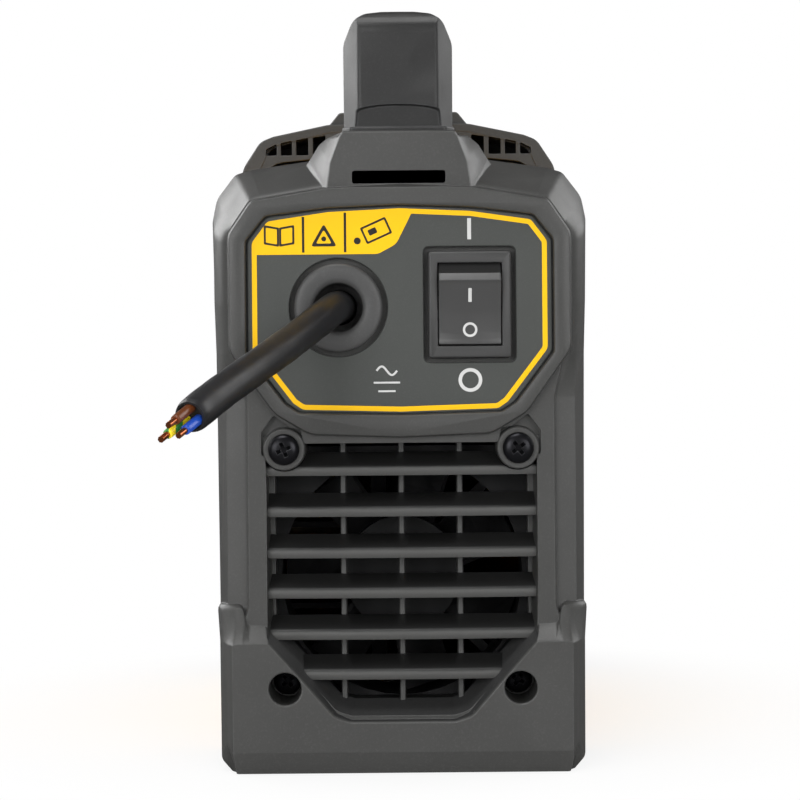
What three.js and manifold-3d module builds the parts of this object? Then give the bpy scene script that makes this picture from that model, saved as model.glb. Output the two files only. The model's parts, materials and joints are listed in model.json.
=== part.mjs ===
// Compact stick welding inverter.
// Millimetres, +Z up. Origin: on the floor plane, at the middle of the base pan.
// +Y is the rear, the mains end (cable, power switch, air inlet). -Y is the front, the
// working end (current knob, display, output sockets). +X is on the left when looking
// at the mains end.
import * as THREE from 'three';
import { mergeVertices } from 'three/addons/utils/BufferGeometryUtils.js';
import Module from 'manifold-3d';

const wasm = await Module();
wasm.setup();

// ---------- driving dimensions ----------
const GAP = 0.3;              // clearance between neighbouring pieces
const SIDES = [1, -1];        // +X side, then -X side
const REAR_EDGE = 88;         // y where the rear cover begins
const REAR_WALL_IN = 130;     // inner face of the rear wall
const REAR_WALL = 133;        // outer face of the rear wall
const RING_REAR = 137;        // face of the raised frame round the rear panel
const BUMPER_REAR = 137.5;    // face of the rear bumper
const BEYOND_REAR = 140;      // y where cuts into the rear start, clear of the cover
const FRONT_EDGE = -88;       // y where the front cover begins
const FRONT_WALL_IN = -130;   // inner face of the front wall
const FRONT_WALL = -133;      // outer face of the front wall
const FRONT_FACE = -148;      // face of the front frame
const BEYOND_FRONT = -150;    // y where cuts into the front start, clear of the cover
const REAR_CUT = [125, BEYOND_REAR];   // y range of openings through the rear wall
const FRONT_CUT = [-140, -120];        // y range of openings through the front wall
const CUT_X = [-60, 60];      // x range of cuts across the whole machine
const PANEL_T = 1.0;          // label panel thickness
const GLAND = { x: 18.6, z: 140.9, rDisc: 13.4, rHole: 7.3, rRecess: 15 };
const SWITCH = { x: -21.2, z: 141.5, w: 25.2, h: 32.3, face: 136.3, pivotDepth: 9.4 };
const FAN = { z: 57.8, size: 80, y0: 86, y1: 111, rDuct: 37.6, rHub: 18 };
const BOSS_R = 6.4;           // screw bosses of the rear cover
// Cover screws: x is mirrored, seat is the y of the head's seat.
const REAR_UPPER = { x: 35.5, z: 98, seat: 134.5 };
const REAR_LOWER = { x: 35.6, z: 25.8, seat: 117 };   // deep in the bumper
const FRONT_UPPER = { x: 44.5, z: 96, seat: -139 };
const FRONT_LOWER = { x: 38, z: 14, seat: -134 };
const CASE_SCREW = { ys: [-62, 62], z: 13 };
const KNOB = { x: 0, z: 122 };
const DISPLAY = { x: 18, z0: 156, z1: 172 };          // window: half width and z range
const LED_X = 30;
// mesh name, z, material
const LEDS = [['led_power', 168, 'led_green'], ['led_warning', 160, 'led_amber']];
const SOCKET = { x: 23, z: 56 };
const SHELL_X = 51.8;         // half width of the case shell
const SHELL_T = 1.5;

// ---------- materials ----------
const MATERIALS = {
  cover: { color: 0x4b4c4d, roughness: 0.62 },
  panel: { color: 0x4a4a4b, roughness: 0.5 },
  yellow: { color: 0xf5c400, roughness: 0.4 },
  black: { color: 0x222223, roughness: 0.5 },
  rubber: { color: 0x1a1a1b, roughness: 0.45 },
  steel: { color: 0x9a9c9e, roughness: 0.35, metalness: 1 },
  dark_steel: { color: 0x1c1c1e, roughness: 0.35, metalness: 0.9 },
  brass: { color: 0xc39a4a, roughness: 0.3, metalness: 1 },
  aluminium: { color: 0xb9bcc0, roughness: 0.4, metalness: 1 },
  board: { color: 0x1f5a34, roughness: 0.5 },
  ferrite: { color: 0x2b2b2d, roughness: 0.6 },
  copper: { color: 0xb4653a, roughness: 0.4, metalness: 0.8 },
  window: { color: 0x2a0c0c, roughness: 0.15 },
  led_green: { color: 0x3fae4c, roughness: 0.3 },
  led_amber: { color: 0xe6a01e, roughness: 0.3 },
  blue: { color: 0x2a56b0, roughness: 0.5 },
  brown: { color: 0x6a3d1f, roughness: 0.5 },
  green_yellow: { color: 0x9bbf2a, roughness: 0.5 },
};
const materials = {};
for (const [name, look] of Object.entries(MATERIALS)) {
  materials[name] = new THREE.MeshStandardMaterial({ ...look, name });
}

// ---------- helpers ----------
const V = (x, y, z) => new THREE.Vector3(x, y, z);
const radians = (degrees) => degrees * Math.PI / 180;

function solid(geometry) {
  geometry.deleteAttribute('normal');
  geometry.deleteAttribute('uv');
  const merged = mergeVertices(geometry, 1e-4);
  return new wasm.Manifold(new wasm.Mesh({
    numProp: 3,
    vertProperties: new Float32Array(merged.attributes.position.array),
    triVerts: new Uint32Array(merged.index.array),
  }));
}
const group = new THREE.Group();
function add(name, piece, materialName) {
  const { vertProperties, triVerts } = piece.getMesh();
  const geometry = new THREE.BufferGeometry();
  geometry.setAttribute('position',
    new THREE.BufferAttribute(new Float32Array(vertProperties), 3));
  geometry.setIndex(new THREE.BufferAttribute(new Uint32Array(triVerts), 1));
  geometry.computeVertexNormals();
  const mesh = new THREE.Mesh(geometry, materials[materialName]);
  mesh.name = name;
  group.add(mesh);
}
const join = (pieces) => pieces.reduce((a, b) => a.add(b));

// +X half of an outline, closed with its mirror image; a point on x = 0 is not repeated
const mirror = (half) => half.concat(
  half.slice().reverse().filter(([x]) => x !== 0).map(([x, z]) => [-x, z]));
// count points on a circle about (x, z)
const circle = (x, z, r, count) => Array.from({ length: count }, (_, i) => {
  const angle = i * 2 * Math.PI / count;
  return [x + r * Math.cos(angle), z + r * Math.sin(angle)];
});
const shapeOf = (outline) => new THREE.Shape(outline.map(([u, v]) => new THREE.Vector2(u, v)));
const extrude = (outline, depth, steps = 1) =>
  new THREE.ExtrudeGeometry(shapeOf(outline), { depth, bevelEnabled: false, steps });

// outline in (x, z)
const prismY = (outline, y0, y1) =>
  solid(extrude(outline, y1 - y0).rotateX(Math.PI / 2).translate(0, y1, 0));
const mirrorPrism = (half, y0, y1) => prismY(mirror(half), y0, y1);
// outline in (y, z)
function prismX(outline, x0, x1) {
  const basis = new THREE.Matrix4().makeBasis(V(0, 1, 0), V(0, 0, 1), V(1, 0, 0));
  return solid(extrude(outline, x1 - x0).applyMatrix4(basis).translate(x0, 0, 0));
}
// outline in (x, y)
const prismZ = (outline, z0, z1) => solid(extrude(outline, z1 - z0).translate(0, 0, z0));

const box = (x0, x1, y0, y1, z0, z1) =>
  solid(new THREE.BoxGeometry(x1 - x0, y1 - y0, z1 - z0)
    .translate((x0 + x1) / 2, (y0 + y1) / 2, (z0 + z1) / 2));
// box on one side of x = 0, between two distances from it
const sideBox = (side, near, far, ...yz) =>
  box(Math.min(side * near, side * far), Math.max(side * near, side * far), ...yz);
const cylY = (x, z, r, y0, y1, segments = 24) =>
  solid(new THREE.CylinderGeometry(r, r, y1 - y0, segments).translate(x, (y0 + y1) / 2, z));
const cylX = (y, z, r, x0, x1, segments = 24) =>
  solid(new THREE.CylinderGeometry(r, r, x1 - x0, segments)
    .rotateZ(Math.PI / 2).translate((x0 + x1) / 2, y, z));

// [r, y] profile turned about the line along Y through (x, z)
function latheY(x, z, profile, segments = 24, closed = false) {
  const points = profile.map(([r, y]) => new THREE.Vector2(r, y));
  if (closed) points.push(points[0].clone());
  const turned = () => solid(new THREE.LatheGeometry(points, segments).translate(x, 0, z));
  const piece = turned();
  if (piece.volume() >= 0) return piece;
  points.reverse();   // the profile ran the way that turns the surface inside out
  return turned();
}

// Loft through [y, half outline in (x, z)] sections with equal point counts, in rising y.
function loftY(sections) {
  const outlines = sections.map(([, half]) => mirror(half));
  const last = sections.length - 1;
  const geometry = extrude(outlines[0], last, last);
  const position = geometry.attributes.position;
  for (let i = 0; i < position.count; i++) {
    let nearest = 0;
    let least = Infinity;
    outlines[0].forEach(([x, z], j) => {
      const distance = Math.hypot(x - position.getX(i), z - position.getY(i));
      if (distance < least) {
        least = distance;
        nearest = j;
      }
    });
    const k = last - Math.round(position.getZ(i));
    const [x, z] = outlines[k][nearest];
    position.setXYZ(i, x, sections[k][0], z);
  }
  return solid(geometry);
}
const tube = (path, r, segments, steps) => solid(new THREE.ExtrudeGeometry(
  shapeOf(circle(0, 0, r, segments)), { steps, bevelEnabled: false, extrudePath: path }));

// ---------- rear cover ----------
// +X halves of (x, z) outlines, from the floor up. Outside: body, two steps, rear wall.
const REAR_BODY = [[52.5, 0], [55, 14], [55.2, 41], [56.3, 50], [56.8, 106],
  [57.4, 143], [58, 168], [50.8, 182.4], [46, 183.8], [27.9, 186.4]];
const REAR_STEP_1 = [[51.8, 0], [54.6, 13], [54.8, 41], [56, 50], [56.2, 106],
  [56.8, 143], [57, 165.4], [47.6, 177.8], [43.9, 179], [25.1, 182]];
const REAR_STEP_2 = [[51, 0], [53.4, 12], [53.6, 41], [53.2, 50], [53.2, 106],
  [54.2, 143], [54.8, 164.4], [46, 175], [42.8, 176], [23.6, 179.2]];
const REAR_END = [[49, 0], [50.5, 8], [50, 41], [46.8, 50], [46.8, 106],
  [50.8, 128], [50.5, 163], [44.2, 172.4], [41, 173], [22.4, 176.4]];
// Cavity: body, and against the rear wall.
const REAR_CAVITY = [[49, 2.5], [52.1, 14], [52.3, 41], [52.0, 50], [52.4, 106],
  [52.8, 143], [53.4, 167.4], [48.1, 178.2], [45, 179.4], [27.5, 183]];
const REAR_CAVITY_END = [[46.4, 2.5], [47.9, 8], [47.4, 41], [44.2, 50], [44.2, 106],
  [48.2, 128], [48, 162.2], [42.8, 169.9], [40.6, 170.6], [22, 173.9]];
// Bumper with two short horns beside the air inlet: root and face.
const BUMPER_ROOT = [[51.2, 0.02], [55.2, 16], [55.4, 40.5], [53.6, 51], [47.2, 51.4],
  [46.6, 44.4], [41.4, 43], [19.4, 17.9], [15.8, 15.8]];
const BUMPER_FACE = [[49.2, 0.02], [51.7, 7], [51.7, 39.5], [51.4, 48.4], [48.2, 48.8],
  [47.4, 43.6], [41.4, 42.4], [19.4, 17.6], [15.8, 15.6]];
// Raised octagonal frame round the label panel, and the panel in it.
const RING_OUT = [[29.7, 105], [33.6, 106.7], [37.9, 109], [50.8, 128],
  [50.5, 163], [44.2, 172.4], [41, 173], [22.4, 176.4]];
const RING_IN = [[30.3, 110.3], [33.3, 112.7], [45.5, 128], [45.5, 161], [41, 167.9],
  [38.8, 168.8]];
const REAR_PANEL = [[30.0, 110.7], [33.0, 113.1], [45.1, 128.2], [45.1, 160.8], [40.8, 167.5],
  [38.7, 168.4]];
// Pedestal that carries the handle: body and rear end.
const PEDESTAL = [[29, 178], [27.9, 186.2], [24.5, 191.3], [18.6, 194.3]];
const PEDESTAL_END = [[23.2, 172], [22, 176.4], [20.2, 186.5], [17, 194.3]];
const INLET = [[15.8, 15.8], [19.4, 17.9], [41.4, 43], [41.4, 99.7]];

function rearBosses(cover) {
  const up = REAR_UPPER;
  const low = REAR_LOWER;
  for (const side of SIDES) {
    const upX = side * up.x;
    const lowX = side * low.x;
    cover = cover
      .add(cylY(upX, up.z, BOSS_R, 124, up.seat))
      .add(cylY(lowX, low.z, BOSS_R, 113, 131.5, 20)
        .subtract(mirrorPrism(INLET, 100, BEYOND_REAR)))
      .subtract(cylY(upX, up.z, 2.3, 110, BEYOND_REAR, 12))
      .subtract(cylY(lowX, low.z, 2.3, 110, BEYOND_REAR, 12))
      .subtract(cylY(lowX, low.z, 4.9, low.seat, BEYOND_REAR, 20));
  }
  return cover;
}
function switchOpening(halfWidth, halfHeight) {
  const { x, z } = SWITCH;
  return box(x - halfWidth, x + halfWidth, ...REAR_CUT, z - halfHeight, z + halfHeight);
}
function rearCover() {
  let cover = loftY([[REAR_EDGE, REAR_BODY], [114, REAR_BODY], [124.5, REAR_STEP_1],
    [129, REAR_STEP_2], [REAR_WALL, REAR_END]]);
  cover = cover
    .add(loftY([[110, BUMPER_ROOT], [124, BUMPER_ROOT], [BUMPER_REAR, BUMPER_FACE]]))
    .add(mirrorPrism(RING_OUT, 131, RING_REAR))
    .subtract(mirrorPrism(RING_IN, REAR_WALL, BEYOND_REAR))
    .add(loftY([[97, PEDESTAL], [117, PEDESTAL], [133.5, PEDESTAL_END]]))
    .subtract(loftY([[REAR_EDGE - 1, REAR_CAVITY], [117, REAR_CAVITY],
      [REAR_WALL_IN, REAR_CAVITY_END]]));
  // cross slot in the roof, then a block under the handle with a flat pocket open to the rear
  cover = cover
    .subtract(box(-15, 15, 99, 103, 181, 190))
    .add(box(-16, 16, 106, 131, 176.5, 185))
    .subtract(box(-13.7, 13.7, 108, BEYOND_REAR, 178.8, 181.8));
  cover = rearBosses(cover.subtract(mirrorPrism(INLET, 108, BEYOND_REAR)));
  return cover
    .subtract(cylY(GLAND.x, GLAND.z, 10.9, ...REAR_CUT))
    .subtract(switchOpening(12, 16.3));
}
add('rear_cover', rearCover(), 'cover');

// label panel, loose in the frame's recess
add('rear_panel', mirrorPrism(REAR_PANEL, REAR_WALL + GAP, REAR_WALL + GAP + PANEL_T)
  .subtract(cylY(GLAND.x, GLAND.z, GLAND.rRecess, ...REAR_CUT, 32))
  .subtract(switchOpening(14, 17.6)), 'panel');

// ---------- air inlet grille ----------
const LOUVRES = [92, 79.5, 67.2, 55, 42.4, 30.1];   // z of each louvre's outer edge
const LOUVRE_T = 2.9;
const BARS = [-17.9, 0, 17.9];                      // x of the upright bars
const BAR_HALF = 0.9;

function rearGrille() {
  // inlet outline grown outwards
  const grown = (d, y0, y1) => mirrorPrism([[15.8 + d * 0.3, 15.8 - d],
    [19.4 + d * 0.6, 17.9 - d * 0.8], [41.4 + d, 43 - d * 0.35], [41.4 + d, 99.7 + d]], y0, y1);
  const bars = (...yz) => BARS.map((x) => box(x - BAR_HALF, x + BAR_HALF, ...yz));
  const louvres = LOUVRES.map((z) => prismX([[131.3, z - LOUVRE_T / 2],
    [131.3, z + LOUVRE_T / 2], [117, z + 5.6], [117, z + 3.9]], -43, 43));
  const blades = join([...louvres, ...bars(118, 125, 14, 102)])
    .intersect(grown(-0.8, 110, BEYOND_REAR));
  const frame = grown(1.7, 126.8, 129.7).subtract(grown(-1.4, 120, 135));
  // short ties join the bars and louvres to the frame
  const feet = [-16, 16].map((x) => box(x - 1.5, x + 1.5, 120, 129.7, 14.6, 20));
  let grille = join([blades, frame, ...bars(118, 129.7, 96, 100.9), ...feet]);
  for (const side of SIDES) {
    for (const [{ x, z }, segments] of [[REAR_UPPER, 24], [REAR_LOWER, 20]]) {
      grille = grille.subtract(
        cylY(side * x, z, BOSS_R + 0.4, 110, BEYOND_REAR, segments));
    }
  }
  return grille;
}
add('rear_grille', rearGrille(), 'cover');

// ---------- cable entry ----------
const CABLE_R = 4.9;
// centre line of the cable, [x, y, z]
const CABLE = [[18.6, 95, 140.9], [18.6, 112, 140.9], [18.7, 128, 141.1], [19.6, 137, 140.7],
  [23.2, 145.5, 137.8], [30, 156, 132.2], [40.6, 178, 124], [50.5, 200, 116.4],
  [57, 215, 110.8]];
// mesh name, material, angle round the cable in degrees, bare length
const CORES = [['core_line', 'brown', 90, 12], ['core_neutral', 'blue', 210, 11],
  ['core_earth', 'green_yellow', 330, 14]];
const CORE = { r: 1.4, offset: 2.2, gap: 0.35 };
const GLAND_PROFILE = [[5.3, 112], [10.5, 112], [10.5, 133.3], [GLAND.rDisc, 133.3],
  [GLAND.rDisc, 135.2], [12.6, 136], [8, 135.7], [GLAND.rHole, 135], [GLAND.rHole, 126],
  [5.3, 123]];

add('cable_gland', latheY(GLAND.x, GLAND.z, GLAND_PROFILE, 32, true), 'black');
add('gland_nut', prismY(circle(GLAND.x, GLAND.z, 15, 6), 122.5, 129.6)
  .subtract(cylY(GLAND.x, GLAND.z, 10.8, 120, 131, 32)), 'black');
const cablePath = new THREE.CatmullRomCurve3(CABLE.map((p) => V(...p)), false, 'centripetal');
add('power_cable', tube(cablePath, CABLE_R, 14, 18), 'rubber');

function addCores() {
  const end = cablePath.getPointAt(1);
  const along = cablePath.getTangentAt(1).normalize();
  const across = V(0, 0, 0).crossVectors(along, V(0, 0, 1)).normalize();
  const up = V(0, 0, 0).crossVectors(across, along).normalize();
  for (const [name, materialName, angle, length] of CORES) {
    const start = end.clone()
      .addScaledVector(across, CORE.offset * Math.cos(radians(angle)))
      .addScaledVector(up, CORE.offset * Math.sin(radians(angle)))
      .addScaledVector(along, CORE.gap);
    const tip = start.clone().addScaledVector(along, length);
    add(name, tube(new THREE.LineCurve3(start, tip), CORE.r, 10, 1), materialName);
  }
}
addCores();

// ---------- power switch ----------
const PIVOT_Y = SWITCH.face - SWITCH.pivotDepth;
const ROCKER_R = 14.9;        // radius of the rocker's end skirts about its pivot
const ROCKER_TILT = 12;       // degrees from the middle
const SKIRT = { from: 41.6, to: 70, steps: 5 };   // arc of an end skirt, degrees

function switchBody() {
  const { x, z, w, h, face } = SWITCH;
  const sweep = cylX(PIVOT_Y, z, ROCKER_R + 0.4, x - 9.8, x + 9.8, 40)
    .intersect(box(...CUT_X, 100, PIVOT_Y + 8.75, 100, 180));
  return box(x - w / 2, x + w / 2, REAR_WALL + GAP, face, z - h / 2, z + h / 2)
    .add(box(x - 11.6, x + 11.6, 109, 134, z - 15.9, z + 15.9))
    .subtract(box(x - 9.7, x + 9.7, PIVOT_Y + 8.7, BEYOND_REAR, z - 12.6, z + 12.6))
    .subtract(sweep)
    .subtract(cylX(PIVOT_Y, z, 1.9, x - 11, x + 11, 16));
}
// Drawn level as [up, out] from the pivot, then tipped to off: the lower half pressed in.
function rocker() {
  const { x, z } = SWITCH;
  const half = [[0, 10]];
  for (let i = 0; i <= SKIRT.steps; i++) {
    const angle = radians(SKIRT.from + (SKIRT.to - SKIRT.from) * i / SKIRT.steps);
    half.push([ROCKER_R * Math.sin(angle), ROCKER_R * Math.cos(angle)]);
  }
  half.push([11.6, 4.6], [8.5, 7.2], [3, 7], [2.2, -2.2]);
  const cos = Math.cos(radians(ROCKER_TILT));
  const sin = Math.sin(radians(ROCKER_TILT));
  const tipped = mirror(half).map(([up, out]) =>
    [PIVOT_Y + out * cos + up * sin, z + up * cos - out * sin]);
  return prismX(tipped, x - 9.4, x + 9.4)
    .add(cylX(PIVOT_Y, z, 1.6, x - 10.6, x + 10.6, 14));
}
add('power_switch_body', switchBody(), 'black');
add('power_rocker', rocker(), 'black');

// ---------- cooling fan ----------
const BLADE = { count: 7, root: 17, length: 19.4, t: 1.6, chord: 19, pitch: 52, twist: 14 };
const FAN_HOLE = 35.8;        // mounting holes from the axis, in x and z

function fanFrame() {
  const { z, y0, y1 } = FAN;
  const half = FAN.size / 2;
  let frame = box(-half, half, y0, y1, z - half, z + half)
    .subtract(cylY(0, z, FAN.rDuct, y0 - 1, y1 + 1, 40));
  // motor mount with four struts, on the side away from the inlet
  frame = frame.add(cylY(0, z, 17, y0, y0 + 2.5, 28));
  for (let i = 0; i < 4; i++) {
    const strut = box(11, 41, y0, y0 + 2.5, -1.5, 1.5);
    frame = frame.add(strut.rotate([0, 45 + i * 90, 0]).translate([0, 0, z]));
  }
  frame = frame.add(cylY(0, z, 12.5, y0 + 1, y0 + 15));
  for (const x of SIDES) {
    for (const up of SIDES) {
      frame = frame.subtract(
        cylY(x * FAN_HOLE, z + up * FAN_HOLE, 2.2, y0 - 1, y1 + 1, 12));
    }
  }
  return frame;
}
// a flat box along X, pitched about its length and twisted towards the tip
function fanBlade() {
  const geometry = new THREE.BoxGeometry(BLADE.length, BLADE.t, BLADE.chord, 2, 1, 1);
  const position = geometry.attributes.position;
  for (let i = 0; i < position.count; i++) {
    const r = position.getX(i) + BLADE.length / 2 + BLADE.root;
    const angle = radians(BLADE.pitch - BLADE.twist * (r - BLADE.root) / BLADE.length);
    const cos = Math.cos(angle);
    const sin = Math.sin(angle);
    const y = position.getY(i);
    const z = position.getZ(i);
    position.setXYZ(i, r, y * cos + z * sin * 0.82, -y * sin + z * cos);
  }
  return geometry;
}
function fanRotor() {
  const { z, y0, y1, rHub } = FAN;
  let rotor = latheY(0, z, [[0, y1 - 2], [rHub, y1 - 2], [rHub, y0 + 4], [rHub - 2, y0 + 4],
    [rHub - 2, y1 - 4], [0, y1 - 4]], 32);
  for (let i = 0; i < BLADE.count; i++) {
    rotor = rotor.add(solid(fanBlade()
      .rotateY(i * 2 * Math.PI / BLADE.count).translate(0, (y0 + y1) / 2 + 1, z)));
  }
  return rotor;
}
add('fan_frame', fanFrame(), 'black');
add('fan_rotor', fanRotor(), 'black');

// ---------- base pan ----------
function baseChassis() {
  let pan = box(-50, 50, -84, 84, 0, 4.5)
    .subtract(box(-48.5, 48.5, -82.5, 82.5, 1.5, 6))
    .add(box(-44, 44, 82.5, 126, 3, 4.5))
    .add(box(-44, 44, -126, -82.5, 3, 4.5));
  for (const side of SIDES) pan = pan.add(sideBox(side, 48.5, 50, -84, 84, 1, 24));
  for (const y of CASE_SCREW.ys) pan = pan.subtract(cylX(y, CASE_SCREW.z, 2, ...CUT_X, 12));
  return pan;
}
add('base_chassis', baseChassis(), 'steel');

// ---------- yellow case shell ----------
const NUDGE = 0.001;          // keeps three outline points off one straight line
const SHELL_IN = SHELL_X - SHELL_T;
// +X halves of the (x, z) outlines at the two ends, outside and inside
const SHELL_FRONT = [[SHELL_X, 0.5], [SHELL_X, 140], [53.4, 189.5], [50, 199.2], [28, 201.5]];
const SHELL_REAR = [[SHELL_X, 0.5], [SHELL_X, 120], [SHELL_X + NUDGE, 166], [47, 176.6],
  [27, 181]];
const SHELL_FRONT_IN = [[SHELL_IN, -1], [SHELL_IN, 140], [51.9, 189], [49.1, 197.8],
  [27.7, 199.9]];
const SHELL_REAR_IN = [[SHELL_IN, -1], [SHELL_IN, 120], [SHELL_IN + NUDGE, 165.4],
  [46.3, 175.2], [26.8, 179.4]];
const OUTLETS = { count: 7, y: -76, pitch: 9, width: 4, slant: 10, z0: 44, z1: 92 };

function caseShell() {
  let shell = loftY([[-96, SHELL_FRONT], [95, SHELL_REAR]])
    .subtract(loftY([[-97, SHELL_FRONT_IN], [96, SHELL_REAR_IN]]));
  // slanted outlet slots through both sides
  const { width, slant, z0, z1 } = OUTLETS;
  for (let i = 0; i < OUTLETS.count; i++) {
    const y = OUTLETS.y + i * OUTLETS.pitch;
    shell = shell.subtract(prismX(
      [[y, z0], [y + width, z0], [y + width + slant, z1], [y + slant, z1]], ...CUT_X));
  }
  for (const y of CASE_SCREW.ys) {
    shell = shell.subtract(cylX(y, CASE_SCREW.z, 2.1, ...CUT_X, 12));
  }
  // the lower corners are notched where the covers' floors come in
  return shell
    .subtract(box(...CUT_X, 87.6, 100, -1, 18))
    .subtract(box(...CUT_X, -100, -87.6, -1, 18));
}
add('case_shell', caseShell(), 'yellow');

// ---------- front cover ----------
// +X halves of (x, z) outlines, from the floor up. Outside: body and front face.
const FRONT_BODY = [[52.5, 0], [55.6, 14], [56, 41], [56.2, 60], [56.6, 106],
  [57.4, 143], [60.4, 197], [54.2, 208.4], [49, 210.3], [27.6, 214.7]];
const FRONT_END = [[49.4, 0], [52.2, 7], [52.6, 41], [52.4, 60], [52.4, 106],
  [52.6, 143], [54.4, 182], [47.4, 195], [42.8, 196.6], [25.6, 200.2]];
// Cavity: body, and against the front wall.
const FRONT_CAVITY = [[49, 2.5], [52.2, 14], [52.4, 41], [52.2, 60], [52.4, 106],
  [53.4, 143], [55.8, 194.4], [50.6, 205.6], [46.6, 207.2], [27, 211.9]];
const FRONT_CAVITY_END = [[47, 2.5], [49.2, 10], [49.6, 41], [49.2, 60], [49.2, 106],
  [49.4, 143], [50.6, 185], [45.2, 198], [40.6, 199.5], [24.8, 203.2]];
// Block on top that meets the handle: front end and body.
const HUMP_END = [[25, 202], [25, 212.5], [21.4, 217.6]];
const HUMP = [[27.4, 206], [27.4, 214.6], [23.2, 219.8]];
// Opening for the case shell, at its two ends.
const MOUTH_X = SHELL_X + 0.4;
const MOUTH_IN = [[MOUTH_X, 0.4], [MOUTH_X, 139], [53.9, 190.1], [50.5, 199.8], [28, 202.2]];
const MOUTH_OUT = [[MOUTH_X, 0.4], [MOUTH_X, 139], [53.9, 189.7], [50.5, 199.4], [28, 201.8]];
// Recesses for the controls and for the output sockets, and the label panel.
const CONTROL_RECESS = [[36, 97], [44.6, 108], [44.6, 170], [36.5, 182], [21, 185.6]];
const SOCKET_RECESS = [[24, 20], [43, 34], [43, 84], [36, 91]];
const FRONT_PANEL = [[35.8, 97.5], [44.2, 108.2], [44.2, 169.8], [36.3, 181.5], [20.9, 185.1]];
// Air slots in the rear face of the hood: x from, x to, top z.
const HOOD_SLOTS = [[26, 33.4, 210.2], [35.2, 41, 209], [42.8, 46.8, 207.8], [48.6, 52, 205.4]];

// box round the display window, with margins in x and z
const displayBox = (marginX, marginZ, y0, y1) => box(-DISPLAY.x - marginX,
  DISPLAY.x + marginX, y0, y1, DISPLAY.z0 - marginZ, DISPLAY.z1 + marginZ);
// openings for the knob, the display and the lights
const controlHoles = (displayMargin, rLed) => join([
  cylY(KNOB.x, KNOB.z, 4, ...FRONT_CUT, 20),
  displayBox(displayMargin, displayMargin, ...FRONT_CUT),
  ...LEDS.map(([, z]) => cylY(LED_X, z, rLed, ...FRONT_CUT, 14)),
]);

function frontCover() {
  const hood = loftY([[FRONT_FACE, FRONT_END], [-124, FRONT_BODY], [FRONT_EDGE, FRONT_BODY]]);
  let cover = hood
    .add(loftY([[-123, HUMP_END], [-118, HUMP], [-91, HUMP]]))
    .subtract(loftY([[FRONT_WALL_IN, FRONT_CAVITY_END], [-118, FRONT_CAVITY],
      [-91, FRONT_CAVITY]]))
    .subtract(loftY([[-92, MOUTH_IN], [-87, MOUTH_OUT]]));
  for (const side of SIDES) {
    for (const [near, far, top] of HOOD_SLOTS) {
      cover = cover.subtract(sideBox(side, near, far, -92, -87, 203.2, top));
    }
  }
  cover = cover
    .subtract(mirrorPrism(CONTROL_RECESS, BEYOND_FRONT, FRONT_WALL))
    .subtract(mirrorPrism(SOCKET_RECESS, BEYOND_FRONT, FRONT_WALL))
    .subtract(controlHoles(2, 3.1));
  const up = FRONT_UPPER;
  const low = FRONT_LOWER;
  for (const side of SIDES) {
    const upX = side * up.x;
    const lowX = side * low.x;
    cover = cover
      .subtract(cylY(side * SOCKET.x, SOCKET.z, 11.9, ...FRONT_CUT, 28))
      .add(cylY(upX, up.z, 5.4, FRONT_FACE, -126, 16).intersect(hood))
      .add(cylY(lowX, low.z, 5, -131, -118, 16))
      .subtract(cylY(upX, up.z, 3.9, BEYOND_FRONT, up.seat, 16))
      .subtract(cylY(upX, up.z, 2.2, BEYOND_FRONT, -110, 12))
      .subtract(cylY(lowX, low.z, 4.9, BEYOND_FRONT, low.seat, 16))
      .subtract(cylY(lowX, low.z, 2.2, BEYOND_FRONT, -110, 12));
  }
  return cover;
}
add('front_cover', frontCover(), 'cover');
add('front_panel', mirrorPrism(FRONT_PANEL, FRONT_WALL - GAP - PANEL_T, FRONT_WALL - GAP)
  .subtract(controlHoles(0.4, 2.8)), 'panel');
add('display_window', displayBox(0, 0, -135, -131), 'window');
add('display_module', displayBox(1, 1.5, -130.6, -120.4), 'black');
const LED_PROFILE = [[0, -136], [1.5, -135.7], [2.4, -134.6], [2.4, -121], [0, -121]];
for (const [name, z, materialName] of LEDS) {
  add(name, latheY(LED_X, z, LED_PROFILE, 14), materialName);
}
add('control_board', box(-40, 40, -120, -118.4, 106, 184), 'board');

// ---------- current control ----------
const KNOB_PROFILE = [[0, -147.5], [12.4, -147.5], [13.4, -146.5], [15.5, -137.5],
  [15.5, -135], [12.5, -135], [12.5, -138], [5.5, -138], [5.5, -135.2], [3.4, -135.2],
  [3.4, -144], [0, -144]];
const FLUTES = { count: 15, at: 15.9, r: 1.2 };

function currentKnob() {
  const { x, z } = KNOB;
  let knob = latheY(x, z, KNOB_PROFILE, 30);
  for (let i = 0; i < FLUTES.count; i++) {
    const angle = (i + 0.5) * 2 * Math.PI / FLUTES.count;
    knob = knob.subtract(cylY(x + FLUTES.at * Math.cos(angle),
      z + FLUTES.at * Math.sin(angle), FLUTES.r, -149, -137, 6));
  }
  // pointer groove
  return knob.subtract(box(-0.8, 0.8, -149, -146.8, z + 3, z + 13));
}
add('current_knob', currentKnob(), 'black');
add('current_potentiometer', cylY(KNOB.x, KNOB.z, 8.5, -129.6, -120.3, 20)
  .subtract(cylY(KNOB.x, KNOB.z, 3.3, -131, -123, 16)), 'steel');
add('potentiometer_shaft', cylY(KNOB.x, KNOB.z, 3, -143, -123.4, 16), 'aluminium');

// ---------- output sockets ----------
const SOCKET_BODY = [[8.9, -146.5], [12.2, -146.5], [13, -145.7], [13, -137.3],
  [15.6, -137.3], [15.6, -133.3], [11.5, -133.3], [11.5, -114], [8.9, -114]];
const SOCKET_CONTACT = [[0, -122], [4.7, -122], [4.7, -144], [8.5, -144], [8.5, -116],
  [4, -116], [4, -108], [0, -108]];

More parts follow.
